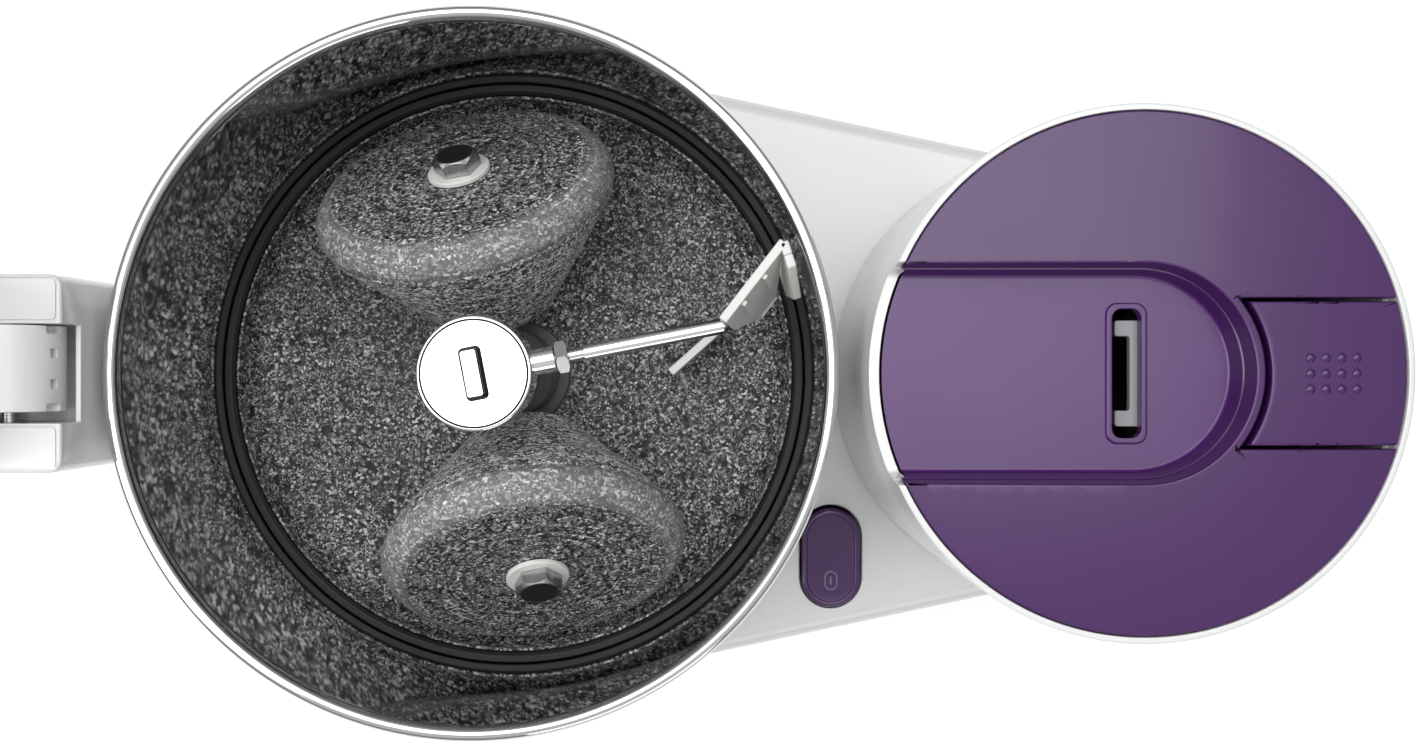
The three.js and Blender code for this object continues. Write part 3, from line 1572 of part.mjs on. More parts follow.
const hub = group(
  grinder,
  piece('centre_bush', centreBush(), nylon),
  piece('hub_body', hubBody(), darkPlastic),
  piece('hub_cap', hubCap(), polishedSteel),
  piece('scraper_socket', scraperSocket(), polishedSteel),
  piece('scraper_lock_nut', scraperLockNut(), steel),
  piece('scraper_rod', scraperRod(), polishedSteel),
  piece('scraper_blade', scraperBlade(), nylon),
);
hub.rotation.z = hubTurn;
[1, -1].forEach((side, i) => {
  const roller = group(
    hub,
    piece(`roller_stone_${i + 1}`, rollerStone(), rollerGranite),
    piece(`roller_bush_${i + 1}`, rollerBush(), nylon),
    piece(`axle_${i + 1}`, axle(), steel),
    piece(`axle_nut_${i + 1}`, axleNut(), polishedSteel),
  );
  roller.applyMatrix4(rollerFrame(side));
});

const arm = group(
  grinder,
  piece('arm_shell', armShell(), whitePlastic),
  piece('arm_top_cover', armTopCover(), whitePlastic),
  piece('arm_knuckle', armKnuckle(), palePlastic),
  piece('lug_socket', lugSocket(), darkPlastic),
  piece('latch_tongue', latchTongue(), steel),
);
arm.position.set(pinPlace, 0, pinHeight);
arm.rotation.y = -armOpen;

// The origin is the middle of the footprint.
const box = new THREE.Box3().setFromObject(grinder);
grinder.children.forEach((child) => {
  child.position.x -= (box.min.x + box.max.x) / 2;
});

export default grinder;
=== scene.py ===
import json
import math
from types import SimpleNamespace

import bmesh
import bpy
from mathutils import Matrix, Vector


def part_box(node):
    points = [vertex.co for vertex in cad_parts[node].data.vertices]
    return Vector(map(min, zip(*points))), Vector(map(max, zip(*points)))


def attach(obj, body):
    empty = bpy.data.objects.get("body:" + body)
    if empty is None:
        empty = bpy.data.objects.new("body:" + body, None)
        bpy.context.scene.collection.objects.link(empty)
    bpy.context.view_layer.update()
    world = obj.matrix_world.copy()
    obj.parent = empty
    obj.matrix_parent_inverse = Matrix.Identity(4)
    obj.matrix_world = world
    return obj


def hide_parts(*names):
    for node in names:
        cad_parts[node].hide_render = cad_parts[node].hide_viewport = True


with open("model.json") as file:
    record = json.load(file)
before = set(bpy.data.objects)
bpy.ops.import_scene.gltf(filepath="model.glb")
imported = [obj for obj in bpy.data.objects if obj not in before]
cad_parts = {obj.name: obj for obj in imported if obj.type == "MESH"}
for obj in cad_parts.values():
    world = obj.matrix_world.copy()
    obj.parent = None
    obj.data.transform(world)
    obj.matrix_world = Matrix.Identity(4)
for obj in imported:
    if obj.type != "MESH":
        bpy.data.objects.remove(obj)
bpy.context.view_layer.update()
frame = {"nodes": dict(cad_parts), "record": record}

bl_info = {
    "name": "Wet Grinder",
    "version": (1, 0, 0),
    "blender": (4, 5, 0),
    "location": "3D View > Sidebar > Wet Grinder",
    "description": "A table-top wet grinder with a lift-out drum and two granite rollers",
    "category": "Add Mesh",
}

# Everything is modelled in millimetres and brought to metres when a piece is done.
MM = 0.001

ADD, CUT, KEEP = "UNION", "DIFFERENCE", "INTERSECT"

# Between pieces that fit in one another
GAP = 0.3


# Places and heights, read from the frame


def low(node):
    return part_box(node)[0] / MM


def high(node):
    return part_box(node)[1] / MM


def middle(node):
    return (low(node) + high(node)) / 2


DRUM_AXIS = middle("drum_shell").x
TOWER_AXIS = middle("motor_shaft").x
AXIS_SPACING = TOWER_AXIS - DRUM_AXIS
PIN = middle("hinge_pin")
SWITCH = middle("switch_rocker")
BODY_BOTTOM = low("body_shell").z
BODY_TOP = high("body_shell").z
DRUM_BOTTOM = low("drum_shell").z
DRUM_TOP = high("drum_shell").z
STONE_BOTTOM = low("stone_base").z
STONE_LIP = high("stone_base").z
TOWER_TOP = high("tower_shell").z
HUB_CAP_BOTTOM = low("hub_cap").z
ROD_HEIGHT = middle("scraper_rod").z
SLIDE_BOTTOM = low("latch_slide").z
SLIDE_TOP = high("latch_slide").z
LUG_TOP = high("hub_cap").z

# Turns, in degrees
HUB_TURN = 11
ROLLER_TILT = 36
ARM_OPEN = 105


def at(x=0.0, y=0.0, z=0.0):
    return Matrix.Translation((x, y, z))


def about(axis, degrees):
    return Matrix.Rotation(math.radians(degrees), 4, axis)


DRUM = at(DRUM_AXIS)
TOWER = at(TOWER_AXIS)
HUB = DRUM @ about("Z", HUB_TURN)
ARM = at(PIN.x, 0, PIN.z) @ about("Y", -ARM_OPEN)


# Radii that several pieces share
HUB_BORE, POST, AXLE = 10.2, 7, 5


def roller_place(side):
    """The frame of a roller: its Z runs out and up along the axle."""
    return HUB @ at(0, 3 * side, STONE_LIP - 10.7) @ about("X", (ROLLER_TILT - 90) * side)


def along_rod():
    """The frame of a piece on the scraper's rod: its Z runs out along the rod."""
    return HUB @ at(0, 0, ROD_HEIGHT) @ about("Y", 90)


# Sizes and colours that a user would change


def amount(name, description, default, unit="LENGTH", **settings):
    return bpy.props.FloatProperty(
        name=name, description=description, default=default, unit=unit, **settings
    )


def length(name, description, default):
    return amount(name, description, default * MM, precision=5)


def colour(name, description, default):
    return bpy.props.FloatVectorProperty(
        name=name, description=description, default=default, size=3, min=0, max=1,
        subtype="COLOR",
    )


class DrumSizes(bpy.types.PropertyGroup):
    radius: length("Radius", "Inside radius of the drum", 112)
    wall: length("Wall", "Thickness of the sheet steel", 1)
    corner: length("Corner", "Radius between the wall and the bottom", 10)
    bead: length("Rolled rim", "Radius of the rolled rim", 2.25)


class StoneSizes(bpy.types.PropertyGroup):
    floor_drop: length("Floor drop", "Stone floor below the stone's lip", 11)
    bore: length("Bore", "Radius of the hole for the centre post", 16)
    seal_width: length("Seal width", "Width of the rubber ring", 3.8)
    roller_small_end: length("Small end", "From the cone's tip to the roller's small end", 30)
    roller_edge: length("Edge", "Radius of the roller's large edge", 9)
    bush_flange: length("Bush flange", "Radius of the roller bush's flange", 11.3)
    nut: length("Axle nut", "Radius across the corners of the axle nut", 8.5)


class HubSizes(bpy.types.PropertyGroup):
    flange: length("Flange", "Radius of the hub's flange on the stone", 21)
    tube: length("Tube", "Outer radius of the hub's tube", 12.6)
    cap: length("Cap", "Radius of the chromed cap", 18.7)
    lug_width: length("Lug width", "Width of the lug on the cap", 5.8)
    lug_length: length("Lug length", "Length of the lug on the cap", 15.8)


class ScraperSizes(bpy.types.PropertyGroup):
    rod: length("Rod", "Radius of the polished rod", 2.6)
    thread: length("Thread", "Radius of the rod's thread", 2.35)
    reach: length("Reach", "From the drum's axis to the rod's end", 82)
    thickness: length("Blade", "Thickness of the nylon blade", 3)


class BodySizes(bpy.types.PropertyGroup):
    near_radius: length("Drum end", "Radius of the body round the drum", 122.9)
    far_radius: length("Tower end", "Radius of the body round the tower", 80)
    edge: length("Top edge", "Radius of the body's top edge", 7)
    wall: length("Wall", "Thickness of the moulded wall", 3)
    rocker_width: length("Rocker width", "Width of the oval switch rocker", 22.4)
    rocker_length: length("Rocker length", "Length of the oval switch rocker", 38.3)


class TowerSizes(bpy.types.PropertyGroup):
    foot_radius: length("Foot", "Radius of the tower at its foot", 83)
    top_radius: length("Top", "Radius of the tower at its top", 81.5)
    cap_radius: length("Cap", "Radius of the coloured cap", 79.2)
    seat_half_width: length("Seat", "Half the width of the arm's seat, at its floor", 30.5)
    seat_depth: length("Seat depth", "Depth of the arm's seat", 13)
    button_gap: length("Button gap", "Gap round the release button", 1.1)


class ArmSizes(bpy.types.PropertyGroup):
    half_width: length("Half width", "Half the width of the lock arm", 30)
    reach: length("Reach", "From the hinge pin to the middle of the round end", 346.4)
    thickness: length("Thickness", "Thickness of the lock arm", 12.9)
    wall: length("Wall", "Thickness of the arm's wall", 2.5)


class FinishColours(bpy.types.PropertyGroup):
    white: colour("White plastic", "Body, tower, post and arm", (0.80, 0.80, 0.795))
    accent: colour("Accent plastic", "Tower cap, button and rocker", (0.052, 0.008, 0.093))
    granite: colour("Granite floor", "Most common grain of the floor", (0.038, 0.039, 0.040))
    rollers: colour("Granite rollers", "Most common grain of the rollers", (0.060, 0.061, 0.063))
    nylon: colour("Nylon", "Scraper blade and bushes", (0.74, 0.74, 0.71))
    knuckle: colour("Knuckle", "Pale plastic of the hinge knuckle", (0.86, 0.87, 0.87))


class StageSizes(bpy.types.PropertyGroup):
    floor: amount("Floor", "Side of the square floor", 12)
    camera_height: amount("Camera height", "Height of the camera over the table", 0.645)
    key: amount("Key light", "Power of the large soft light", 16.5, "POWER")
    fill: amount("Side light", "Power of the light at the side", 13, "POWER")
    front: amount("Front light", "Power of the light in front", 5, "POWER")


def sizes_of(group):
    """The sizes of a group, in millimetres."""
    values = getattr(bpy.context.scene, "grinder_" + group)
    names = GROUPS["grinder_" + group].__annotations__
    return SimpleNamespace(**{name: getattr(values, name) / MM for name in names})


# Shaping


def rounded(corners, closed=False, steps=6):
    """A line of points in a plane, with an arc where a corner has a third number."""
    line = []
    count = len(corners)
    for index, corner in enumerate(corners):
        here = Vector(corner[:2])
        radius = corner[2] if len(corner) > 2 else 0
        if not radius or (not closed and index in (0, count - 1)):
            line.append(here)
            continue
        before = (Vector(corners[index - 1][:2]) - here).normalized()
        after = (Vector(corners[(index + 1) % count][:2]) - here).normalized()
        half = before.angle(after) / 2
        centre = here + (before + after).normalized() * (radius / math.sin(half))
        first = here + before * (radius / math.tan(half)) - centre
        last = here + after * (radius / math.tan(half)) - centre
        start = math.atan2(first.y, first.x)
        sweep = math.atan2(last.y, last.x) - start
        sweep = (sweep + math.pi) % math.tau - math.pi
        line += arc(centre.x, centre.y, radius, start, start + sweep, steps)
    return line


def arc(x, y, radius, start, end, steps):
    angles = [start + (end - start) * step / steps for step in range(steps + 1)]
    return [Vector((x + radius * math.cos(a), y + radius * math.sin(a))) for a in angles]


def rectangle(x0, x1, y0, y1, radius=0.0, steps=6):
    corners = [(x0, y0, radius), (x1, y0, radius), (x1, y1, radius), (x0, y1, radius)]
    return rounded(corners, closed=True, steps=steps)


def oval(width, reach, steps=24):
    """A long hole's outline: straight sides and round ends."""
    half, middle_ = width / 2, (reach - width) / 2
    return arc(0, middle_, half, 0, math.pi, steps) + arc(
        0, -middle_, half, math.pi, math.tau, steps
    )


def quarter_round(radius, steps):
    """The inset and the rise of an edge that rounds over, from its foot to its top."""
    for step in range(steps + 1):
        angle = math.pi / 2 * step / steps
        yield radius * (1 - math.cos(angle)), radius * math.sin(angle)


def outward(bm):
    bmesh.ops.remove_doubles(bm, verts=bm.verts, dist=1e-4)
    bmesh.ops.recalc_face_normals(bm, faces=bm.faces)
    return bm


def turned(profile, steps=96):
    """Turns a profile of (radius, height) once round the Z axis."""
    bm = bmesh.new()
    verts = [bm.verts.new((point[0], 0, point[1])) for point in profile]
    edges = [bm.edges.new(pair) for pair in zip(verts, verts[1:])]
    if profile[0][0] > 0:
        edges.append(bm.edges.new((verts[-1], verts[0])))
    bmesh.ops.spin(
        bm, geom=verts + edges, cent=(0, 0, 0), axis=(0, 0, 1), angle=math.tau, steps=steps,
        use_merge=True,
    )
    return outward(bm)


def cylinder(radius, bottom, top, steps=96, x=0.0):
    return moved(turned([(0, bottom), (radius, bottom), (radius, top), (0, top)], steps), at(x))


def lathed(corners, steps, arc_steps=6):
    """Turns a profile whose corners can be rounded."""
    return turned(rounded(corners, steps=arc_steps), steps)


def stacked(levels):
    """Joins outlines, each with its height, into one closed form."""
    bm = bmesh.new()
    loops = []
    for outline, height in levels:
        verts = [bm.verts.new((point[0], point[1], height)) for point in outline]
        loops.append([bm.edges.new((verts[i - 1], verts[i])) for i in range(len(verts))])
    for lower, upper in zip(loops, loops[1:]):
        bmesh.ops.bridge_loops(bm, edges=lower + upper)
    for loop in (loops[0], loops[-1]):
        bmesh.ops.edgeloop_fill(bm, edges=loop)
    return outward(bm)


def slab(outline, bottom, top, lower_edge=0.0, upper_edge=0.0, segments=4):
    """An upright form on an outline, with its lower and upper edges rounded."""
    bm = bmesh.new()
    face = bm.faces.new([bm.verts.new((point[0], point[1], bottom)) for point in outline])
    lifted = bmesh.ops.extrude_face_region(bm, geom=[face])["geom"]
    raised = [item for item in lifted if isinstance(item, bmesh.types.BMVert)]
    bmesh.ops.translate(bm, verts=raised, vec=(0, 0, top - bottom))
    bmesh.ops.recalc_face_normals(bm, faces=bm.faces)
    for width, height in ((lower_edge, bottom), (upper_edge, top)):
        if width:
            eased(bm, width, lambda edge: lies_at(edge, height), segments)
    return bm


def groove(outer, inner, surface, depth):
    """Cuts a fine groove between two outlines into a level surface."""
    band = slab(outer, surface - depth, surface + 1)
    return CUT, combined(band, (CUT, slab(inner, surface - 2, surface + 2)))


def side_slab(outline, left, right, edge=0.0):
    """A form on an outline of (x, z), between two places along Y."""
    return moved(slab(outline, -right, -left, edge, edge), about("X", 90))


def moved(bm, place):
    bmesh.ops.transform(bm, matrix=place, verts=bm.verts)
    return bm


def centre_of(edge):
    return (edge.verts[0].co + edge.verts[1].co) / 2


def lies_at(edge, height, slack=0.01):
    return all(abs(vert.co.z - height) < slack for vert in edge.verts)


def is_sharp(edge, degrees=30):
    return edge.is_manifold and edge.calc_face_angle(0) > math.radians(degrees)


def eased(bm, width, chosen, segments=3):
    """Rounds the edges for which chosen(edge) is true."""
    edges = [edge for edge in bm.edges if chosen(edge)]
    bmesh.ops.bevel(
        bm, geom=edges, offset=width, offset_type="OFFSET", segments=segments, profile=0.5,
        affect="EDGES", material=-1, clamp_overlap=False,
    )
    return bm


def held(bm):
    """Puts a form on a working object, for the cutting below."""
    mesh = bpy.data.meshes.new("working_form")
    bm.to_mesh(mesh)
    bm.free()
    obj = bpy.data.objects.new("working_form", mesh)
    bpy.context.scene.collection.objects.link(obj)
    return obj


def combined(base, *changes):
    """Adds, cuts or keeps the common room of further forms, in order."""
    work = held(base)
    tools = []
    for operation, form in changes:
        tools.append(held(form))
        step = work.modifiers.new(operation, "BOOLEAN")
        step.operation = operation
        step.solver = "EXACT"
        step.object = tools[-1]
    bpy.context.view_layer.update()
    result = bmesh.new()
    result.from_mesh(work.evaluated_get(bpy.context.evaluated_depsgraph_get()).data)
    for obj in tools + [work]:
        mesh = obj.data
        bpy.data.objects.remove(obj)
        bpy.data.meshes.remove(mesh)
    if not result.faces:
        raise RuntimeError("a form came out empty when it was cut")
    bmesh.ops.remove_doubles(result, verts=result.verts, dist=1e-3)
    return result


def joined(*forms):
    """Several closed forms as one piece."""
    whole = bmesh.new()
    for form in forms:
        mesh = bpy.data.meshes.new("working_form")
        form.to_mesh(mesh)
        form.free()
        whole.from_mesh(mesh)
        bpy.data.meshes.remove(mesh)
    return whole


def marked(bm, name, value):
    """Writes a number on each vertex, which a finish can read."""
    layer = bm.verts.layers.float.new(name)
    for vert in bm.verts:
        vert[layer] = value(vert.co)
    return bm


def piece(name, form, body, slot, stands_for=(), place=None, crease=32, finish=None):
    """Makes the finished object of a form and ties it to the frame."""
    if place is not None:
        moved(form, place)
    bmesh.ops.scale(form, vec=(MM, MM, MM), verts=form.verts)
    for face in form.faces:
        face.smooth = True
    for edge in form.edges:
        edge.smooth = not is_sharp(edge, crease)
    mesh = bpy.data.meshes.new(name)
    form.to_mesh(mesh)
    form.free()
    mesh.materials.append(finish_of(finish or slot))
    obj = bpy.data.objects.new(name, mesh)
    bpy.context.scene.collection.objects.link(obj)
    even = obj.modifiers.new("Even shading", "WEIGHTED_NORMAL")
    even.keep_sharp = True
    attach(obj, body)
    if stands_for:
        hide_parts(*stands_for)
    return obj


# Finishes

FINISH_MARK = "_finish"


class Channel:
    """One value of a finish over a surface; sums and products add Math nodes."""

    def __init__(self, finish, socket):
        self.finish = finish
        self.socket = socket

    def _math(operation, reflected=False):
        def result(self, other):
            first, second = (other, self) if reflected else (self, other)
            return self.finish.node(
                "Math", {"operation": operation}, {0: first, 1: second}
            )
        return result

    __add__, __radd__ = _math("ADD"), _math("ADD", True)
    __sub__, __rsub__ = _math("SUBTRACT"), _math("SUBTRACT", True)
    __mul__, __rmul__ = _math("MULTIPLY"), _math("MULTIPLY", True)


def rgba(value):
    return value if isinstance(value, Channel) else (*value[:3], 1)


class Nodes:
    """The nodes of a finish or of the world's light."""

    def __init__(self, owner):
        owner.use_nodes = True
        self.tree = owner.node_tree
        self.tree.nodes.clear()

    def node(self, kind, settings=None, inputs=None, output=0):
        made = self.tree.nodes.new("ShaderNode" + kind)
        for key, value in (settings or {}).items():
            if key == "stops":
                self._stops(made.color_ramp, value)
            else:
                setattr(made, key, value)
        for key, value in (inputs or {}).items():
            self._feed(made.inputs[key], value)
        return Channel(self, made.outputs[output]) if made.outputs else None

    def _stops(self, ramp, stops):
        for element, (position, shade) in zip(ramp.elements, (stops[0], stops[-1])):
            element.position = position
            element.color = rgba(shade)
        for position, shade in stops[1:-1]:
            ramp.elements.new(position).color = rgba(shade)

    def _feed(self, socket, value):
        if isinstance(value, Channel):
            self.tree.links.new(value.socket, socket)
        else:
            socket.default_value = value

    def seen_rays(self):
        """1 for a ray from the camera or from metal or glass, otherwise 0."""
        path = "LightPath"
        seen = self.node(path, output="Is Camera Ray") + self.node(path, output="Is Glossy Ray")
        return seen + self.node(path, output="Is Transmission Ray")


class Finish(Nodes):
    """The material of one finish."""

    def __init__(self, name):
        self.material = bpy.data.materials.new(name)
        super().__init__(self.material)
        self.shader = self.tree.nodes.new("ShaderNodeBsdfPrincipled")
        self.output = self.tree.nodes.new("ShaderNodeOutputMaterial")
        self.tree.links.new(self.shader.outputs[0], self.output.inputs[0])
        self.place = self.node("TexCoord", output="Object")

    def surface(self, **values):
        """Sets the shader's sockets; a name's low lines stand for spaces."""
        for name, value in values.items():
            socket = self.shader.inputs[name.replace("_", " ")]
            self._feed(socket, rgba(value) if "Color" in name else value)

    def noise(self, scale, detail=2.0, rough=0.5, place=None, output=0):
        return self.node("TexNoise", {}, {
            "Vector": place or self.place, "Scale": scale, "Detail": detail, "Roughness": rough,
        }, output)

    def scaled_place(self, x, y, z):
        return self.node(
            "Mapping", {}, {"Vector": self.place, "Scale": (x, y, z)}
        )

    def blend(self, share, first, second):
        return self.node(
            "Mix", {"data_type": "RGBA"}, {0: share, 6: rgba(first), 7: rgba(second)}, 2
        )

    def tint(self, base, shade):
        """Multiplies a colour by another."""
        return self.node(
            "Mix",
            {"data_type": "RGBA", "blend_type": "MULTIPLY", "clamp_result": True},
            {0: 1.0, 6: rgba(base), 7: rgba(shade)}, 2,
        )

    def ramp(self, share, *stops):
        return self.node("ValToRGB", {"stops": stops}, {0: share})

    def rise(self, value, start, end, low_=0.0, high_=1.0):
        """Goes smoothly from one number to another as value goes from start to end."""
        return self.node("MapRange", {"interpolation_type": "SMOOTHSTEP"}, {
            0: value, 1: start, 2: end, 3: low_, 4: high_,
        })

    def relief(self, height, distance):
        bump = self.node("Bump", {}, {
            "Height": height, "Distance": distance, "Strength": 1.0,
        })
        self.surface(Normal=bump)


def grey(value):
    return (value, value, value)


def darker(shade, share):
    return tuple(channel * share for channel in shade[:3])


def paint_light_on_line(finish, shade, tone):
    """A colour that goes to another tone where a piece is marked with a line: painted light, a
    painted highlight on the rocker's sign and painted dark reflection on the hub cap.
    """
    line = finish.node("Attribute", {"attribute_name": "line"}, {}, "Fac")
    return finish.blend(line, shade, tone)


def seat_painted_sheen(finish, shade):
    """The colour of the tower's cap, painted paler on the floor of the arm's seat as a painted
    sheen.
    """
    height = finish.node("SeparateXYZ", {}, {0: finish.place}, 2)
    floor = TOWER_TOP - sizes_of("tower").seat_depth
    return finish.tint(shade, finish.ramp(
        finish.rise(height, (floor + 0.5) * MM, (floor + 2) * MM), (0.0, grey(1.35)),
        (1.0, grey(1.0)),
    ))


def moulded(name, shade, rough=0.22, grain=0.00002, coat=0.35, grain_scale=420.0,
            coat_rough=0.07, line=None, seat=False):
    """Moulded plastic: a little uneven in colour, with a fine skin; line and seat add painted
    light where asked.
    """
    finish = Finish(name)
    cloud = finish.noise(7, 2)
    skin = finish.blend(cloud, darker(shade, 0.965), shade)
    if line:
        skin = paint_light_on_line(finish, skin, line)
    # Painted sheen: the floor of the arm's seat is painted paler than the rest of the cap.
    if seat:
        skin = seat_painted_sheen(finish, skin)
    finish.surface(
        Base_Color=skin, Roughness=finish.noise(45, 3) * 0.07 + (rough - 0.035),
        Coat_Weight=coat, Coat_Roughness=coat_rough, IOR=1.5,
    )
    finish.relief(finish.noise(grain_scale, 2), grain)
    return finish


def metal(name, shade, rough, spread=0.05, brush=(1, 1, 1), grain=0.000004, line=None):
    """Bare metal with the marks of its making along one way; with a line, painted dark reflection
    where the piece is marked.
    """
    finish = Finish(name)
    lines = finish.noise(60, 3, place=finish.scaled_place(*brush))
    skin = finish.blend(lines, darker(shade, 0.93), shade)
    finish.surface(
        Base_Color=paint_light_on_line(finish, skin, line) if line else skin,
        Metallic=1.0,
        Roughness=lines * spread + (rough - spread / 2),
    )
    finish.relief(lines, grain)
    return finish


def speckled(finish, stops, scale):
    """Irregular mineral grains, one even shade to each."""
    drift = finish.node("VectorMath", {"operation": "MULTIPLY_ADD"}, {
        0: finish.noise(scale * 0.9, 1, output="Color"), 1: grey(0.0009),
        2: finish.place,
    })
    cell = finish.node("TexVoronoi", {}, {"Vector": drift, "Scale": scale}, "Color")
    pick = finish.node("SeparateColor", {}, {0: cell})
    return finish.ramp(pick, *stops), pick


# Where a roller's pale edge and its cone begin and end, by the distance marked on the roller; the
# cone's lighter colour is painted light.
EDGE_STARTS, EDGE_ENDS, LIT_CONE_STARTS = (44.5, 49), (58, 65), (60, 68)


def stone(name, shade, light_grain, lines=False):
    """Granite; with lines, also the marks of the tool that turned it, a pale edge and painted
    light: the cone lighter, the face a little darker.
    """
    finish = Finish(name)
    grains, pick = speckled(finish, (
        (0.0, darker(shade, 0.03)), (0.3, darker(shade, 0.12)), (0.48, darker(shade, 0.7)),
        (0.66, darker(shade, 2.6)), (0.82, darker(shade, 7.5)), (1.0, light_grain),
    ), 1000)
    fine, fine_pick = speckled(finish, (
        (0.0, darker(shade, 0.03)), (0.36, darker(shade, 0.3)), (0.7, darker(shade, 3.2)),
        (1.0, light_grain),
    ), 1800)
    patch = finish.noise(34, 4, 0.6)
    mixed = finish.blend(finish.rise(finish.noise(240, 2), 0.4, 0.62), grains, fine)
    mixed = finish.tint(mixed, finish.ramp(
        patch, (0.25, (0.78, 0.78, 0.79)), (0.75, (1.22, 1.22, 1.2)),
    ))
    height = pick * 0.4 + fine_pick * 0.2
    if lines:
        along = finish.node("Attribute", {"attribute_name": "along"}, {}, "Fac")
        tooled = finish.node(
            "TexNoise", {"noise_dimensions": "1D"},
            {"W": along, "Scale": 0.55, "Detail": 3.0, "Roughness": 0.75},
        )
        mixed = finish.tint(mixed, finish.ramp(
            tooled, (0.34, (0.5, 0.5, 0.51)), (0.5, grey(1.0)), (0.66, (1.7, 1.7, 1.68)),
        ))
        edge = finish.rise(along, *EDGE_STARTS) - finish.rise(along, *EDGE_ENDS)
        mixed = finish.blend(edge * 0.3, mixed, (0.50, 0.505, 0.50))
        # Painted light: the steep cone is painted 2.2 times lighter and the face a little darker,
        # standing in for the side light on them.
        mixed = finish.tint(mixed, finish.ramp(
            finish.rise(along, *LIT_CONE_STARTS), (0.0, grey(0.92)), (1.0, (2.2, 2.2, 2.18)),
        ))
        height = height + tooled * 1.2
    finish.surface(Base_Color=mixed, Roughness=0.62 - pick * 0.16, Specular_IOR_Level=0.42)
    finish.relief(height, 0.00012)
    return finish


def floor_finish():
    """A white table that shows the object's shadow, and its own white to the eye and to metal."""
    finish = Finish("pale_floor")
    finish.surface(Base_Color=grey(0.8), Roughness=0.9)
    bright = finish.node("BsdfPrincipled", {}, {
        "Base Color": rgba(grey(0.5)), "Roughness": 0.9, "Emission Color": rgba(grey(1)),
        "Emission Strength": 0.64,
    })
    plain = Channel(finish, finish.shader.outputs[0])
    both = finish.node("MixShader", {}, {0: finish.seen_rays(), 1: plain, 2: bright})
    finish.tree.links.new(both.socket, finish.output.inputs[0])
    return finish


def make_finish(slot_name):
    colours = bpy.context.scene.grinder_colours
    name = slot_name + FINISH_MARK
    white, accent = tuple(colours.white), tuple(colours.accent)
    makers = {
        "white_plastic": lambda: moulded(name, white, 0.24, coat=0.3, coat_rough=0.14),
        "purple_plastic": lambda: moulded(
            name, accent, 0.3, 0.000012, coat=0.15, coat_rough=0.1),
        # The cap's plastic, with a painted sheen on the floor of the arm's seat.
        "cap_plastic": lambda: moulded(
            name, accent, 0.3, 0.000012, coat=0.15, coat_rough=0.1, seat=True),
        "pale_plastic": lambda: moulded(name, tuple(colours.knuckle), 0.34, 0.00004, coat=0.1),
        "grey_plastic": lambda: moulded(name, (0.27, 0.275, 0.285), 0.38, 0.00004, coat=0.0),
        "dark_plastic": lambda: moulded(name, (0.07, 0.072, 0.075), 0.42, 0.00006, coat=0.0),
        "black_plastic": lambda: moulded(name, (0.012, 0.012, 0.013), 0.4, 0.00005, coat=0.0),
        "nylon": lambda: moulded(name, tuple(colours.nylon), 0.36, 0.00005, coat=0.0),
        "black_rubber": lambda: moulded(
            name, (0.007, 0.007, 0.0075), 0.6, 0.00009, coat=0.0, grain_scale=900.0),
        "stainless": lambda: metal(
            name, (0.66, 0.66, 0.655), 0.035, 0.015, (0.4, 0.4, 26), 0.0000008),
        "chrome_plate": lambda: metal(name, (0.80, 0.805, 0.81), 0.045, 0.03, grain=0.000002),
        # The hub cap's lug sides and groove floors are painted near black: painted dark reflection
        # and shade.
        "chrome_cap": lambda: metal(
            name, (0.80, 0.805, 0.81), 0.045, 0.03, grain=0.000002,
            line=(0.012, 0.012, 0.014)),
        # The rocker's sign is painted a paler purple, as a painted highlight.
        "rocker_face": lambda: moulded(
            name, accent, 0.25, 0.000012, coat=0.3, coat_rough=0.06, line=(0.17, 0.11, 0.23)),
        "steel": lambda: metal(name, (0.48, 0.485, 0.49), 0.27, 0.12, (1, 1, 9)),
        "cast_aluminium": lambda: metal(name, (0.52, 0.525, 0.53), 0.46, 0.14, grain=0.00006),
        "copper": lambda: metal(name, (0.55, 0.22, 0.10), 0.34, 0.12, (6, 6, 1), 0.00008),
        "granite": lambda: stone(name, tuple(colours.granite), (0.76, 0.77, 0.77)),
        "roller_granite": lambda: stone(
            name, tuple(colours.rollers), (0.80, 0.81, 0.80), lines=True),
        # Near black: a painted dark reflection on the nuts' faces.
        "nut_dark_reflection": lambda: moulded(name, (0.010, 0.010, 0.011), 0.3, 0.00003, coat=0.2),
    }
    return makers[slot_name]()


def finish_of(slot_name):
    """The material of a slot, made once."""
    return bpy.data.materials.get(slot_name + FINISH_MARK) or make_finish(slot_name).material


# Forms of the body


def belt(inset):
    """The body's plan round the drum's axis: two circles and the straight sides between."""
    sizes = sizes_of("body")
    near, far = sizes.near_radius - inset, sizes.far_radius - inset
    lean = math.acos((near - far) / AXIS_SPACING)
    outline = arc(0, 0, near, lean, math.tau - lean, 90)
    return outline + arc(AXIS_SPACING, 0, far, -lean, lean, 45)


def pilaster(inset):
    start, end = low("hinge_post"), high("hinge_post")
    return rectangle(
        start.x - DRUM_AXIS + inset, -60, start.y + inset, end.y - inset, max(4 - inset, 1)
    )


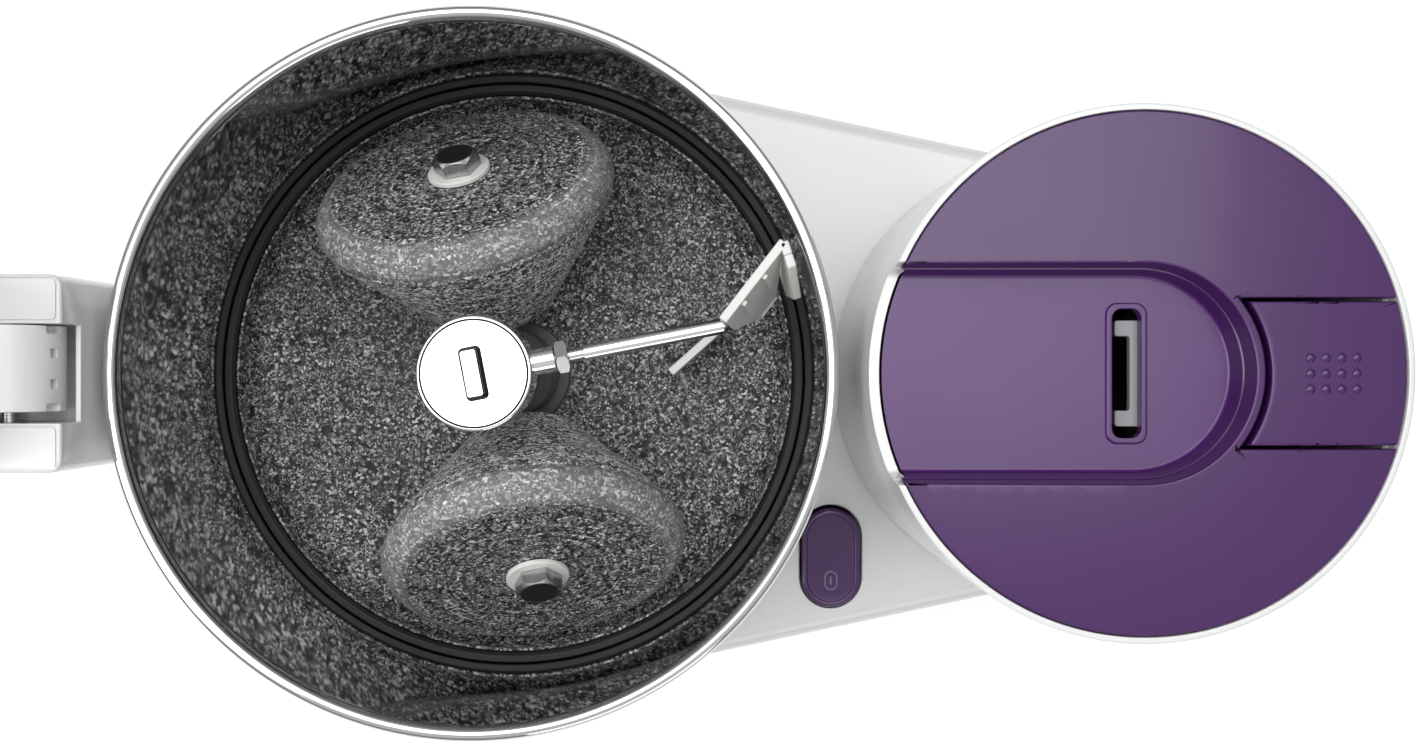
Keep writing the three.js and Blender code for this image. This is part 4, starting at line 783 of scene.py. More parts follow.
def housing_form():
    sizes, tower = sizes_of("body"), sizes_of("tower")
    edge, wall, foot = sizes.edge, sizes.wall, tower.foot_radius
    well, well_wall, well_floor, lip = 115.5, 118.8, 60, 1.5
    spindle_hole, inlet_hole, rocker_play = 9, 6.3, 1.6
    inner_top = BODY_TOP - wall
    # Joined forms end a small step apart, so that no two share a plane.
    step = 0.05
    foot_bottom, foot_top = BODY_BOTTOM + step, BODY_TOP - step
    levels = [
        (belt(1.2), BODY_BOTTOM), (belt(0.35), BODY_BOTTOM + 0.35), (belt(0), BODY_BOTTOM + 1.2),
    ]
    levels += [
        (belt(inset), BODY_TOP - edge + rise) for inset, rise in quarter_round(edge, 8)
    ]
    room = [(0, well_floor + wall), (well, well_floor + wall)]
    room += arc(well + lip, BODY_TOP - lip, lip, math.pi, math.pi / 2, 6)
    room += [(well + lip, BODY_TOP + 5), (0, BODY_TOP + 5)]
    switch = Vector((SWITCH.x - DRUM_AXIS, SWITCH.y))
    outline = oval(sizes.rocker_width + rocker_play, sizes.rocker_length + rocker_play)
    switch_hole = [point + switch for point in outline]
    grommet = low("cord_grommet").z + 8
    inlet = at(AXIS_SPACING) @ about("Z", 45) @ at(60, 0, grommet) @ about("Y", 90)
    form = stacked(levels)
    for change in (
        (ADD, cylinder(foot, foot_bottom, foot_top, 128, AXIS_SPACING)),
        (ADD, slab(pilaster(0), foot_bottom, foot_top)),
        (CUT, slab(belt(wall), BODY_BOTTOM - 3, inner_top)),
        (CUT, cylinder(foot - wall, BODY_BOTTOM - 3, BODY_TOP + 3, 128, AXIS_SPACING)),
        (CUT, slab(pilaster(wall), BODY_BOTTOM - 3, inner_top - step)),
        (ADD, cylinder(well_wall, well_floor, BODY_TOP - wall / 2, 144)),
        (CUT, turned(room, 144)),
        (CUT, cylinder(spindle_hole, well_floor - 5, well_floor + 10, 48)),
        (CUT, slab(switch_hole, inner_top - 5, BODY_TOP + 5)),
        (CUT, moved(cylinder(inlet_hole, 0, 40, 48), inlet)),
    ):
        form = combined(form, change)

    def switch_rim(edge_):
        away = centre_of(edge_).xy - switch
        near = abs(away.x) < 14 and abs(away.y) < 22
        return lies_at(edge_, BODY_TOP) and near and is_sharp(edge_)

    return eased(form, 0.6, switch_rim)


class GRINDER_OT_housing(bpy.types.Operator):
    """White body with the drum's well, on its four rubber feet"""
    bl_idname = "grinder.housing"
    bl_label = "Body"

    def execute(self, context):
        piece("housing", housing_form(), "base", "white_plastic", ("body_shell", "drum_well"),
              DRUM)
        for index in range(1, 5):
            node = f"foot_{index}"
            centre, top = middle(node), high(node).z
            foot = lathed([
                (0, 1.0), (7.0, 1.0), (8.2, 0), (11.6, 0, 0.8), (12, 8, 0.8), (7.5, 8),
                (7.5, 8.3), (3.0, 8.3), (3.0, top, 0.6), (0, top),
            ], 48)
            piece(f"rubber_foot_{index}", foot, "base", "black_rubber", (node,),
                  at(centre.x, centre.y))
        return {"FINISHED"}


# Tower, cap, button and latch


def seat_outline(half, reach):
    quarter = math.pi / 2
    outline = [Vector((-reach, -half))]
    outline += arc(0, 0, half, -quarter, quarter, 64)
    return outline + [Vector((-reach, half))]


# From the seat's half width and its floor: how far out and how far up its side goes
SEAT_SIDE = (
    (-1.1, 0), (-0.75, 0.06), (-0.3, 0.35), (0.05, 0.95), (1.25, 6.6), (1.7, 6.9), (2.7, 13),
    (3.3, 16),
)


def seat_form(reach, extra=0.0):
    """The room of the closed arm: a soft floor corner, a sloped side with a fine step."""
    sizes = sizes_of("tower")
    half = sizes.seat_half_width + extra
    floor = TOWER_TOP - sizes.seat_depth - extra
    return stacked([(seat_outline(half + out, reach), floor + up) for out, up in SEAT_SIDE])


def dome(radius):
    """The height of the cap's domed top at a radius."""
    cap, rise, sunk = sizes_of("tower").cap_radius, 1.5, 0.4
    return TOWER_TOP + rise * (1 - (radius / cap) ** 2) - sunk


def dome_profile(radius):
    rings = 14
    shares = [1 - ring / rings for ring in range(rings + 1)]
    return [(radius * share, dome(radius * share)) for share in shares]


def on_dome(edge):
    """Whether a sharp edge lies on the cap's domed top."""
    place = centre_of(edge)
    return is_sharp(edge, 40) and place.z > dome(place.xy.length) - 0.08


def domed_disc(radius, bottom):
    return turned([(0, bottom), (radius, bottom)] + dome_profile(radius), 160)


# The button's inner radius from the tower's axis, and half its width
BUTTON_INNER, BUTTON_HALF = 37.8, 21.7


def button_outline(inner, half, outer):
    """A part of a ring, with straight sides."""
    near, far = math.asin(half / inner), math.asin(half / outer)
    return arc(0, 0, outer, -far, far, 24) + arc(0, 0, inner, near, -near, 24)


def tower_shell_form():
    sizes = sizes_of("tower")
    foot, top, cap = sizes.foot_radius, sizes.top_radius, sizes.cap_radius
    inner = cap + GAP
    bottom = BODY_TOP + GAP
    shell = lathed([
        (foot - 3, bottom), (foot, bottom), (top, TOWER_TOP, 0.9), (inner, TOWER_TOP, 0.4),
        (inner, TOWER_TOP - 7), (inner - 1.5, TOWER_TOP - 7), (inner - 1.5, TOWER_TOP - 10),
        (top - 3, TOWER_TOP - 13),
    ], 160)

    def mouth_rim(edge):
        place = centre_of(edge)
        outside = place.x < -70 and place.xy.length > inner - 1
        return is_sharp(edge, 40) and outside and place.z > TOWER_TOP - 14

    return eased(combined(shell, (CUT, seat_form(foot + 5, GAP))), 0.5, mouth_rim, 2)


def tower_cap_form():
    sizes = sizes_of("tower")
    cap, wall, tub_wall = sizes.cap_radius, 3.2, 5.7
    floor = TOWER_TOP - sizes.seat_depth
    bottom = TOWER_TOP - 6.7
    button = button_outline(BUTTON_INNER - 1.8, BUTTON_HALF + sizes.button_gap, cap + 4)
    tub = combined(
        slab(seat_outline(sizes.seat_half_width + tub_wall, cap), floor - 3, TOWER_TOP - 2),
        (KEEP, cylinder(cap - 1.5, floor - 4, TOWER_TOP - 1, 128)),
    )
    rails = [(ADD, slab(rectangle(*plan), *heights)) for plan, heights in rail_blocks()]
    lip = floor + 1.2
    form = combined(
        domed_disc(cap, bottom),
        (CUT, cylinder(cap - wall, bottom - 3, TOWER_TOP - 3.5, 128)),
        (CUT, slab(button, bottom - 3, TOWER_TOP + 3)), (ADD, tub), *rails,
        (CUT, seat_form(cap + 4)),
        (ADD, slab(rectangle(-8.4, 4.4, -21.9, 21.9, 3.6), floor - 1.5, lip, 0, 0.7, 3)),
        (CUT, slab(rectangle(-6.5, 2.5, -20, 20, 3), floor - 6, floor + 4)),
    )
    eased(form, 0.55, on_dome)
    return eased(form, 0.35, lambda edge: is_sharp(edge, 50) and lies_at(edge, lip, 0.05), 2)


def rail_blocks():
    """The two rails that carry the latch slide, and the seat of the button's spring."""
    bottom = SLIDE_BOTTOM - 2.7
    floor = (bottom, bottom + 2.4)
    spring, outer = middle("button_spring").x - TOWER_AXIS, 18.9
    end = spring + 7
    yield (spring - 7, end, -outer, outer), floor
    for side in (-1, 1):
        near, far = sorted((side * 16.9, side * outer))
        yield (8, end, near, far), (bottom, SLIDE_TOP)
        yield (8, 15, near, far), (bottom, SLIDE_TOP + 1.8)
        yield (8, end, *sorted((side * 14.5, side * outer))), floor


def button_form():
    cap = sizes_of("tower").cap_radius - GAP
    pitch, radius = 4.7, 1.55
    plate = combined(
        slab(button_outline(BUTTON_INNER, BUTTON_HALF, cap), TOWER_TOP - 3.5, TOWER_TOP + 3),
        (KEEP, domed_disc(cap, TOWER_TOP - 4)),
    )
    eased(plate, 0.7, on_dome)
    skirt = button_outline(BUTTON_INNER + 2, BUTTON_HALF - 2, cap - 3.5)
    face, upper = low("release_button").z, TOWER_TOP - 10.5
    wedge = side_slab([(42, upper), (42, face), (44.2, face), (53.6, upper)], -5, 5)
    dots = bmesh.new()
    for column in range(4):
        for row in (-1, 0, 1):
            x, y = 49.5 + column * pitch, row * pitch
            place = at(x, y, dome(math.hypot(x, y)) - 0.35) @ Matrix.Diagonal((1, 1, 0.65, 1))
            bmesh.ops.create_uvsphere(
                dots, u_segments=20, v_segments=12, radius=radius, matrix=place
            )
    return joined(plate, slab(skirt, TOWER_TOP - 11, TOWER_TOP - 3), wedge, dots)


def slide_form():
    end, half, back, inner = high("latch_slide").x - TOWER_AXIS, 16.6, -4.5, 11.6
    outline = rounded([
        (back, -half, 1), (end, -half, 1), (end, half, 1), (back, half, 1),
        (back, inner, 0.8), (0.2, inner, 0.8), (0.2, -inner, 0.8), (back, -inner, 0.8),
    ], closed=True)
    window = stacked([
        (rectangle(38.2, 45.1, -5.8, 5.8), SLIDE_TOP - 3.7),
        (rectangle(38.2, 49.5, -5.8, 5.8), SLIDE_TOP + 0.7),
    ])
    opening = rectangle(2.7, 14.7, -inner, inner, 1)
    return combined(
        slab(outline, SLIDE_BOTTOM, SLIDE_TOP, 0, 0.4, 2),
        (CUT, slab(opening, SLIDE_BOTTOM - 2, SLIDE_TOP + 2)), (CUT, window),
    )


class GRINDER_OT_tower(bpy.types.Operator):
    """Motor tower with its cap, the arm's seat, the release button and the latch slide"""
    bl_idname = "grinder.tower"
    bl_label = "Tower"

    def execute(self, context):
        piece("tower_wall", tower_shell_form(), "base", "white_plastic", ("tower_shell",), TOWER)
        piece("cap", tower_cap_form(), "base", "purple_plastic", ("tower_cap",), TOWER,
              finish="cap_plastic")
        piece("button", button_form(), "button", "purple_plastic", ("release_button",), TOWER)
        piece("slide", slide_form(), "latch", "grey_plastic", ("latch_slide",), TOWER)
        return {"FINISHED"}


# Switch


def rocker_form():
    sizes = sizes_of("body")
    width, reach = sizes.rocker_width, sizes.rocker_length
    rim, shoulder = 1.1, 5.5
    sunken = ((3.2, 0.0), (3.9, 0.12), (4.5, 0.5), (6.5, 0.62), (10, 0.7), (16, 0.74))
    levels = [(0, -4.0)]
    levels += [(2 * inset, shoulder + rise) for inset, rise in quarter_round(rim, 4)]
    levels += [(inset, shoulder + rim - dip) for inset, dip in sunken]
    ring = combined(
        slab(oval(5.4, 7.8, 16), 5.0, 6.5, 0, 0.2, 2),
        (CUT, slab(oval(3.8, 6.2, 16), 4.0, 8.0)),
    )
    bar = slab(rectangle(-0.45, 0.45, -1.7, 1.7, 0.4), 5.0, 6.5, 0, 0.2, 2)
    # The sign is painted a paler purple: a painted highlight on its raised edges.
    sign = marked(joined(ring, bar), "line", lambda place: 1.0)
    face = stacked([(oval(width - inset, reach - inset), height) for inset, height in levels])
    return joined(face, moved(sign, at(0, -8.6)))


class GRINDER_OT_power_switch(bpy.types.Operator):
    """Oval rocker of the power switch"""
    bl_idname = "grinder.power_switch"
    bl_label = "Switch"

    def execute(self, context):
        place = at(SWITCH.x, SWITCH.y, BODY_TOP - 4) @ about("X", 4)
        piece("rocker", rocker_form(), "switch", "purple_plastic", ("switch_rocker",), place,
              finish="rocker_face")
        return {"FINISHED"}


# Hinge post and pin


def post_form():
    start, end = low("hinge_post"), high("hinge_post")
    bottom, top, wall, slot, line = start.z, end.z, 3, 15, 0.5
    slot_floor = PIN.z - 17.6
    back, front = PIN.x - 15.54, end.x - 1.5
    hollow = rectangle(start.x + wall, end.x - wall, start.y + wall, end.y - wall, 1)
    pin_hole = moved(cylinder(2.8, -40, 27.3, 32), at(PIN.x, 0, PIN.z) @ about("X", 90))
    form = combined(
        slab(rectangle(start.x, end.x, start.y, end.y, 4, 8), bottom, top, 0, 1.1),
        (CUT, slab(hollow, bottom - 3, slot_floor - wall)),
        (CUT, slab(rectangle(back, front, -slot, slot), slot_floor, top + 3)),
        (CUT, slab(rectangle(front - 1, end.x + 3, -slot, slot), top - 13.2, top + 3)),
        (CUT, pin_hole),
    )

    def slot_rim(edge):
        place = centre_of(edge)
        return is_sharp(edge, 50) and abs(place.y) < slot + 0.1 and place.z > top - 14

    eased(form, 0.5, slot_rim, 2)
    grooves = []
    for side in (-1, 1):
        near, far = sorted((side * 15.8, side * 28.9))
        left, right = start.x + 1.3, end.x - 1.3
        outer = rectangle(left, right, near, far, 1.8)
        inner = rectangle(left + line, right - line, near + line, far - line, 1.3)
        grooves.append(groove(outer, inner, top, 0.6))
    return combined(form, *grooves)


def pin_form():
    """A plain pin with fine rings where it shows beside the knuckle."""
    radius, depth, pitch = 2.5, 0.25, 0.9
    profile = [(0, -27), (radius - 0.4, -27), (radius, -26.6)]
    for ring in range(7):
        start = -17 + ring * pitch
        profile += [
            (radius, start), (radius - depth, start + 0.2), (radius - depth, start + 0.45),
            (radius, start + 0.65),
        ]
    return turned(profile + [(radius, 29.3), (radius - 0.4, 29.7), (0, 29.7)], 40)


class GRINDER_OT_hinge(bpy.types.Operator):
    """Hinge post and its steel pin"""
    bl_idname = "grinder.hinge"
    bl_label = "Hinge Post"

    def execute(self, context):
        piece("post", post_form(), "base", "white_plastic", ("hinge_post",))
        piece("pin", pin_form(), "base", "steel", ("hinge_pin",),
              at(PIN.x, 0, PIN.z) @ about("X", -90))
        return {"FINISHED"}


# Drum, stone floor and seal


def drum_form():
    sizes = sizes_of("drum")
    radius, wall, corner, bead = sizes.radius, sizes.wall, sizes.corner, sizes.bead
    rim, swell = DRUM_TOP - bead, radius + 0.3
    inside = rounded([
        (0, DRUM_BOTTOM + wall), (radius, DRUM_BOTTOM + wall, corner), (radius, rim - 3.4),
        (swell, rim - 3.1), (swell, rim - 2.6), (radius, rim - 2.3), (radius, rim),
    ], steps=10)
    roll = arc(radius + bead, rim, bead, math.pi, -math.radians(120), 26)
    outside = rounded([
        (radius + wall, rim - bead * 0.87), (radius + wall, DRUM_BOTTOM, corner + wall),
        (0, DRUM_BOTTOM),
    ], steps=10)
    return turned(inside + roll[1:] + outside, 192)


def stone_form():
    sizes = sizes_of("stone")
    drop, bore = sizes.floor_drop, sizes.bore
    outer = sizes_of("drum").radius - GAP
    step, floor = outer - sizes.seal_width - GAP, STONE_LIP - drop
    dish, ledge = step - 1.2, STONE_LIP - 4.5
    outside = rounded([
        (bore, STONE_BOTTOM), (outer, STONE_BOTTOM, 8.7), (outer, ledge), (step, ledge),
        (step, STONE_LIP, 0.5), (dish, STONE_LIP),
    ])
    dip = arc(dish - drop, STONE_LIP, drop, 0, -math.pi / 2, 16)
    return turned(outside + dip + [(60, floor), (bore + 0.6, floor), (bore, floor - 0.6)], 160)


def seal_form():
    outer = sizes_of("drum").radius - GAP
    inner = outer - sizes_of("stone").seal_width
    bottom, top = low("seal_ring").z, high("seal_ring").z
    return lathed([
        (inner, bottom), (outer, bottom), (outer, top, 0.6), (inner + 1.2, top, 0.8),
        (inner, top - 1.2, 0.4),
    ], 160, 4)


class GRINDER_OT_drum(bpy.types.Operator):
    """Stainless drum with its granite floor, rubber ring and centre post"""
    bl_idname = "grinder.drum"
    bl_label = "Drum"

    def execute(self, context):
        piece("drum", drum_form(), "drum", "stainless", ("drum_shell",), DRUM, crease=50)
        piece("stone_floor", stone_form(), "drum", "granite", ("stone_base",), DRUM)
        piece("rubber_ring", seal_form(), "drum", "black_rubber", ("seal_ring",), DRUM)
        top = high("centre_post").z
        foot, shoulder = 15.4, 84.3
        post = lathed([
            (0, STONE_BOTTOM), (foot, STONE_BOTTOM, 0.5), (foot, shoulder, 0.5),
            (POST, shoulder, 6), (POST, top, 1), (0, top),
        ], 64)
        piece("drum_post", post, "drum", "steel", ("centre_post",), DRUM)
        return {"FINISHED"}


# Hub


def hub_form():
    sizes = sizes_of("hub")
    flange, tube, bore, waist, drum = sizes.flange, sizes.tube, HUB_BORE, 14, 17
    bottom, top = low("hub_body").z, high("hub_body").z
    block = lathed([
        (bore, bottom), (flange, bottom), (flange, bottom + 4, 1.2), (waist, bottom + 4, 0.8),
        (waist, bottom + 5.7), (drum, bottom + 5.7, 0.8), (drum, bottom + 29.2, 1.5),
        (tube, bottom + 33.6, 2), (tube, top), (bore, top),
    ], 96)
    bosses, axle_holes = [], []
    for side in (-1, 1):
        local = HUB.inverted() @ roller_place(side)
        boss = lathed([(0, 11), (8, 11), (8, 28.4, 0.8), (0, 28.4)], 48)
        bosses.append((ADD, moved(boss, local)))
        hole = cylinder(AXLE + GAP, 18.2, 35, 48)
        axle_holes.append((CUT, moved(hole, local)))
    return combined(block, *bosses, (CUT, cylinder(bore, 0, top + 5)), *axle_holes)


def hub_cap_form():
    sizes = sizes_of("hub")
    cap, bore = sizes.cap, sizes.tube + GAP
    half, reach = sizes.lug_width / 2, sizes.lug_length / 2
    top, line = HUB_CAP_BOTTOM + 15.5, 0.8
    body = lathed([
        (0, top), (cap * 0.55, top - 0.08), (cap - 1.75, top - 0.2), (cap - 1.6, top - 0.8),
        (cap - 1.2, top - 0.8), (cap - 1.05, top - 0.25), (cap, top - 0.25, 0.9),
        (cap, HUB_CAP_BOTTOM, 0.6), (bore, HUB_CAP_BOTTOM), (bore, top - 9.5), (0, top - 9.5),
    ], 128, 10)
    plan = rectangle(-half, half, -reach, reach, 1.2)
    outer = rectangle(-half - line, half + line, -reach - line, reach + line, 1.7)
    socket = moved(cylinder(4.35, 14.1, cap + 5, 48), HUB.inverted() @ along_rod())
    form = combined(
        body, groove(outer, plan, top, 0.9), (ADD, slab(plan, top - 3, LUG_TOP, 0, 0.6)),
        (CUT, socket),
    )

    def painted_dark_line(place):
        """The sides of the lug and the floors of both fine grooves, painted near black: painted
        dark reflection and shade.
        """
        if abs(place.x) < half + 0.02 and abs(place.y) < reach + 0.02:
            return float(top - 1.5 < place.z < LUG_TOP - 0.02)
        return float(top - 1.0 < place.z < top - 0.65 and place.xy.length < cap - 0.8)

    return marked(form, "line", painted_dark_line)


class GRINDER_OT_hub(bpy.types.Operator):
    """Hub on the drum's post, with its bush and chromed cap"""
    bl_idname = "grinder.hub"
    bl_label = "Hub"

    def execute(self, context):
        piece("hub_block", hub_form(), "hub", "dark_plastic", ("hub_body",), HUB)
        piece("hub_dome", hub_cap_form(), "hub", "chrome_plate", ("hub_cap",), HUB,
              finish="chrome_cap")
        bottom, top = low("centre_bush").z, high("centre_bush").z
        inner, outer = POST + GAP, HUB_BORE - GAP
        bush = lathed([
            (inner, bottom), (outer, bottom, 0.4), (outer, top, 0.4), (inner, top),
        ], 64)
        piece("post_bush", bush, "bush", "nylon", ("centre_bush",), HUB)
        return {"FINISHED"}


# Scraper


def rod_form():
    sizes = sizes_of("scraper")
    thread, rod, reach, pitch = sizes.thread, sizes.rod, sizes.reach, 0.8
    root = thread - 0.35
    profile = [(0, 20.2), (thread - 0.4, 20.2)]
    for ring in range(18):
        start = 20.4 + ring * pitch
        profile += [(root, start), (thread, start + 0.3), (thread, start + 0.45)]
    profile += [(root, 35.0), (rod, 35.4), (rod, reach - 0.6), (rod - 0.4, reach), (0, reach)]
    return turned(profile, 48)


def plate_outline(start, end, thickness):
    """The plan of a thin upright plate between two points."""
    way = (end - start).normalized()
    half = Vector((way.y, -way.x)) * thickness / 2
    return [start + half, end + half, end - half, start - half]


def blade_form():
    sizes = sizes_of("scraper")
    thickness = sizes.thickness
    inner, outer = Vector((81.54, 1.68)), Vector((105.84, 22.96))
    start, end_top, end_wing = Vector((59.81, -11.2)), Vector((106.4, 18.48)), Vector((107.9, 4.6))
    way = (outer - inner).normalized()
    lean = Vector((way.y, -way.x)) * 8.5
    top, foot, bottom = ROD_HEIGHT + 5, STONE_LIP + 3, low("scraper_blade").z
    fold = foot + (top - foot) * 0.49

    def plate(*levels):
        form = stacked([(plate_outline(a, b, thickness), z) for a, b, z in levels])
        return eased(form, 0.5, lambda edge: is_sharp(edge, 40))

    def upright(first, second, low_, high_):
        return plate((first, second, low_), (first, second, high_))

    slant = Vector((lean.x, lean.y, fold - top))
    depth = slant.length
    axes = Matrix((way.to_3d(), slant.normalized(), way.to_3d().cross(slant).normalized()))
    leaning = Matrix.Translation((inner.x, inner.y, top - 1.5)) @ axes.transposed().to_4x4()
    half, rib = thickness * 0.35, 1.6
    face = moved(slab([
        (0, 0), (30.6, 0), (20.3, depth * 0.96), (10.6, depth), (0.6, depth * 0.48),
    ], -half, half, 0.3, 0.3, 2), leaning)
    ribs = [
        moved(slab(rectangle(x, x + rib, 0.5, depth * 0.4), -half - rib, half * 0.5), leaning)
        for x in (8.0, 18.8)
    ]
    frame_form = combined(
        upright(inner, outer, top - 8, top),
        (ADD, upright(inner, inner + way * 5, bottom, top - 4)),
        (ADD, upright(start, inner, bottom, bottom + 24)),
        (ADD, upright(inner + way * 11 + lean, inner + way * 20 + lean, foot, fold)),
        (ADD, plate(
            (end_top, end_top.lerp(end_wing, 0.8), top - 45), (end_top, end_wing, top - 18),
            (end_top, end_top.lerp(end_wing, 0.3), top),
        )),
        (ADD, upright(outer, end_top, top - 22.5, top)),
        (CUT, moved(
            cylinder(sizes.rod + 0.1, 60, sizes.reach + 0.1, 40), HUB.inverted() @ along_rod()
        )),
    )
    return joined(frame_form, face, *ribs)


def hexagon(radius, bottom, top, shape, bore):
    """A six-sided nut, its corners cut to a turned shape."""
    return combined(
        cylinder(radius, bottom, top, 6), (KEEP, lathed(shape, 72, 6)),
        (CUT, cylinder(*bore, 40)),
    )


class GRINDER_OT_scraper(bpy.types.Operator):
    """Nylon scraper on its threaded rod, with the socket and lock nut"""
    bl_idname = "grinder.scraper"
    bl_label = "Scraper"

    def execute(self, context):
        socket = lathed([
            (0, 14.4), (4.25, 14.4, 0.3), (4.25, 25.9, 0.6), (2.7, 25.9, 0.2), (2.7, 19.9),
            (0, 19.9),
        ], 64)
        piece("rod_socket", socket, "hub", "chrome_plate", ("scraper_socket",), along_rod())
        start, end = 26.2, 30.2
        nut = hexagon(6, start, end, [
            (0, start), (5.3, start), (6.1, 27), (6.1, 29.4), (5.3, end), (0, end),
        ], (2.6, 20, 35))
        piece("lock_nut", nut, "hub", "steel", ("scraper_lock_nut",), along_rod())
        piece("rod", rod_form(), "hub", "chrome_plate", ("scraper_rod",), along_rod())
        piece("blade", blade_form(), "hub", "nylon", ("scraper_blade",), HUB)
        return {"FINISHED"}


# Rollers


def roller_form():
    """A roller, marked with the way from its axle over its face to its small end."""
    sizes = sizes_of("stone")
    start, edge = sizes.roller_small_end, sizes.roller_edge
    bore, turn, quarter = 7.9, math.radians(ROLLER_TILT), math.pi / 2
    centre = Vector((45.47, 77.9))
    slope = math.tan(turn)
    small, end = start * slope, centre.y + edge
    large = arc(*centre, edge, -turn, quarter, 22)
    foot = Vector((small + 2 * slope, start + 2))
    cone = [foot.lerp(large[0], share / 12) for share in range(12)]
    face = [(radius, end) for radius in (38, 30, 22, 14, bore + 0.5)]
    profile = [(bore, start), (small - 2, start), (small - 0.3, start + 0.5)]

    def along(place):
        spot = Vector((place.xy.length, place.z)) - centre
        if spot.x < 0 and spot.y > 0:
            return centre.x + spot.x
        angle = math.atan2(spot.y, spot.x)
        if angle > -turn - 0.01:
            return centre.x + edge * (quarter - angle)
        corner = Vector((edge * math.cos(turn), -edge * math.sin(turn)))
        return centre.x + edge * (quarter + turn) + (spot - corner).length

    return marked(turned(profile + cone + large + face + [(bore, end - 0.5)], 128), "along", along)


class GRINDER_OT_rollers(bpy.types.Operator):
    """Two granite rollers on their axles, with bushes and nuts"""
    bl_idname = "grinder.rollers"
    bl_label = "Rollers"

    def execute(self, context):
        sizes = sizes_of("stone")
        flange, nut, inner, outer = sizes.bush_flange, sizes.nut, AXLE + GAP, 7.6
        start, end = 89.1, 94.5
        for index, side in ((1, 1), (2, -1)):
            place, body = roller_place(side), f"roller_{index}"
            piece(f"roller_cone_{index}", roller_form(), body, "roller_granite",
                  (f"roller_stone_{index}",), place)
            bush = lathed([
                (inner, 30), (outer, 30), (outer, 87.2), (flange, 87.2), (flange, 88.8, 0.6),
                (inner, 88.8),
            ], 80)
            piece(f"bush_{index}", bush, body, "nylon", (f"roller_bush_{index}",), place)
            axle = turned([(0, 18.6), (AXLE, 18.6), (AXLE, 92.8), (4.6, 93.2), (0, 93.2)], 48)
            piece(f"axle_bar_{index}", axle, "hub", "steel", (f"axle_{index}",), place)
            shaped = hexagon(nut, start, end, [
                (0, start), (nut, start), (nut, 93.2, 0.3), (nut - 1.5, end, 0.3), (0, end),
            ], (inner, 85, 93.5))
            piece(f"nut_{index}", shaped, "hub", "steel", (f"axle_nut_{index}",), place)
            # A thin near-black disc on each nut's face: a painted dark reflection, not a part.
            piece(f"nut_dark_reflection_{index}", cylinder(nut - 1.9, end, end + 0.03, 48), "hub",
                  "black_plastic", (), place, finish="nut_dark_reflection")
        return {"FINISHED"}


# Lock arm


# In the arm's frame: X along the arm from the hinge pin, Z up when it's closed.
# The neck's two sides, the knuckle's radius and the near face of the tongue
NECK_SIDES = (-11.6, 14.6)
KNUCKLE = 16
TONGUE = 343.5


def arm_outline(inset):
    sizes = sizes_of("arm")
    half, corner, quarter = sizes.half_width - inset, 6, math.pi / 2
    start = 24.5 + inset + corner
    return (
        arc(sizes.reach, 0, half, -quarter, quarter, 48)
        + arc(start, half - corner, corner, quarter, 2 * quarter, 8)
        + arc(start, corner - half, corner, 2 * quarter, 3 * quarter, 8)
    )


def arm_shell_form():
    sizes = sizes_of("arm")
    wall, top, edge, bottom = sizes.wall, sizes.thickness - 4.3, 2, -1
    end = 30.5
    neck = side_slab(rounded([
        (-9, -9), (12, -9, 0.8), (KNUCKLE, bottom, 0.8), (end, bottom), (end, top), (-9, top),
    ], closed=True), *NECK_SIDES)
    levels = [
        (arm_outline(inset), bottom + edge - rise) for inset, rise in quarter_round(edge, 6)
    ]
    levels = levels[::-1] + [(arm_outline(0), top)]
    hole = rectangle(TONGUE - GAP, TONGUE + 4.7, -10.8, 10.8)
    return combined(
        stacked(levels), (CUT, slab(arm_outline(wall), bottom + wall, top + 2)),
        (ADD, neck), (CUT, moved(cylinder(2.8, -40, 40, 40), about("X", 90))),
        (CUT, slab(hole, -3, wall + 2)),
    )


def arm_cover_form():
    top, edge = sizes_of("arm").thickness - 1, 2
    bottom = top - 3
    levels = [(arm_outline(0), bottom)]
    levels += [(arm_outline(inset), top - edge + rise) for inset, rise in quarter_round(edge, 6)]
    form = combined(
        stacked(levels), (ADD, slab(rectangle(-9, 40, *NECK_SIDES), bottom, top)),
    )
    return combined(form, groove(arm_outline(7), arm_outline(7.6), top, 0.5))


def knuckle_form():
    left, right = NECK_SIDES
    flat = math.asin(9.3 / KNUCKLE)
    form = side_slab(arc(0, 0, KNUCKLE, -flat, flat - math.pi, 40), left, right, 0.5)
    centre = (left + right) / 2
    cuts = []
    for side, end in ((-1, left), (1, right)):
        hole = centre + side * 4.7
        notch = sorted((end - side * 2.5, end + side * 2))
        for plan in (rectangle(-1.5, 1.5, hole - 1.5, hole + 1.5, 0.3),
                     rectangle(-3, 3, *notch, 0.4)):
            cuts.append((CUT, slab(plan, -20, -13)))
    return combined(form, *cuts)


def lug_socket_form():
    """The arm's socket, open below for the lug of the hub's cap."""
    bottom, ceiling, radius, top = LUG_TOP - 2.5 - PIN.z, LUG_TOP + 0.8 - PIN.z, 13, -1.3
    opening = slab(rectangle(-3.7, 3.7, -8.7, 8.7, 1.8), bottom - 2, ceiling)
    block = lathed([(0, bottom), (radius, bottom, 0.8), (radius, top), (0, top)], 80)
    place = at(DRUM_AXIS - PIN.x)
    return combined(
        moved(block, place), (CUT, moved(opening, place @ about("Z", HUB_TURN))),
    )


def tongue_form():
    """The arm's latch tongue, with the notch that the latch slide enters."""
    bottom, top = SLIDE_BOTTOM - 0.4 - PIN.z, SLIDE_TOP + 0.4 - PIN.z
    return combined(
        slab(rectangle(TONGUE, TONGUE + 4.4, -10.5, 10.5, 0.4), bottom - 3, 7, 0.6, 0, 2),
        (CUT, slab(rectangle(TONGUE + 2.6, 350, -12, 12), bottom, top)),
    )


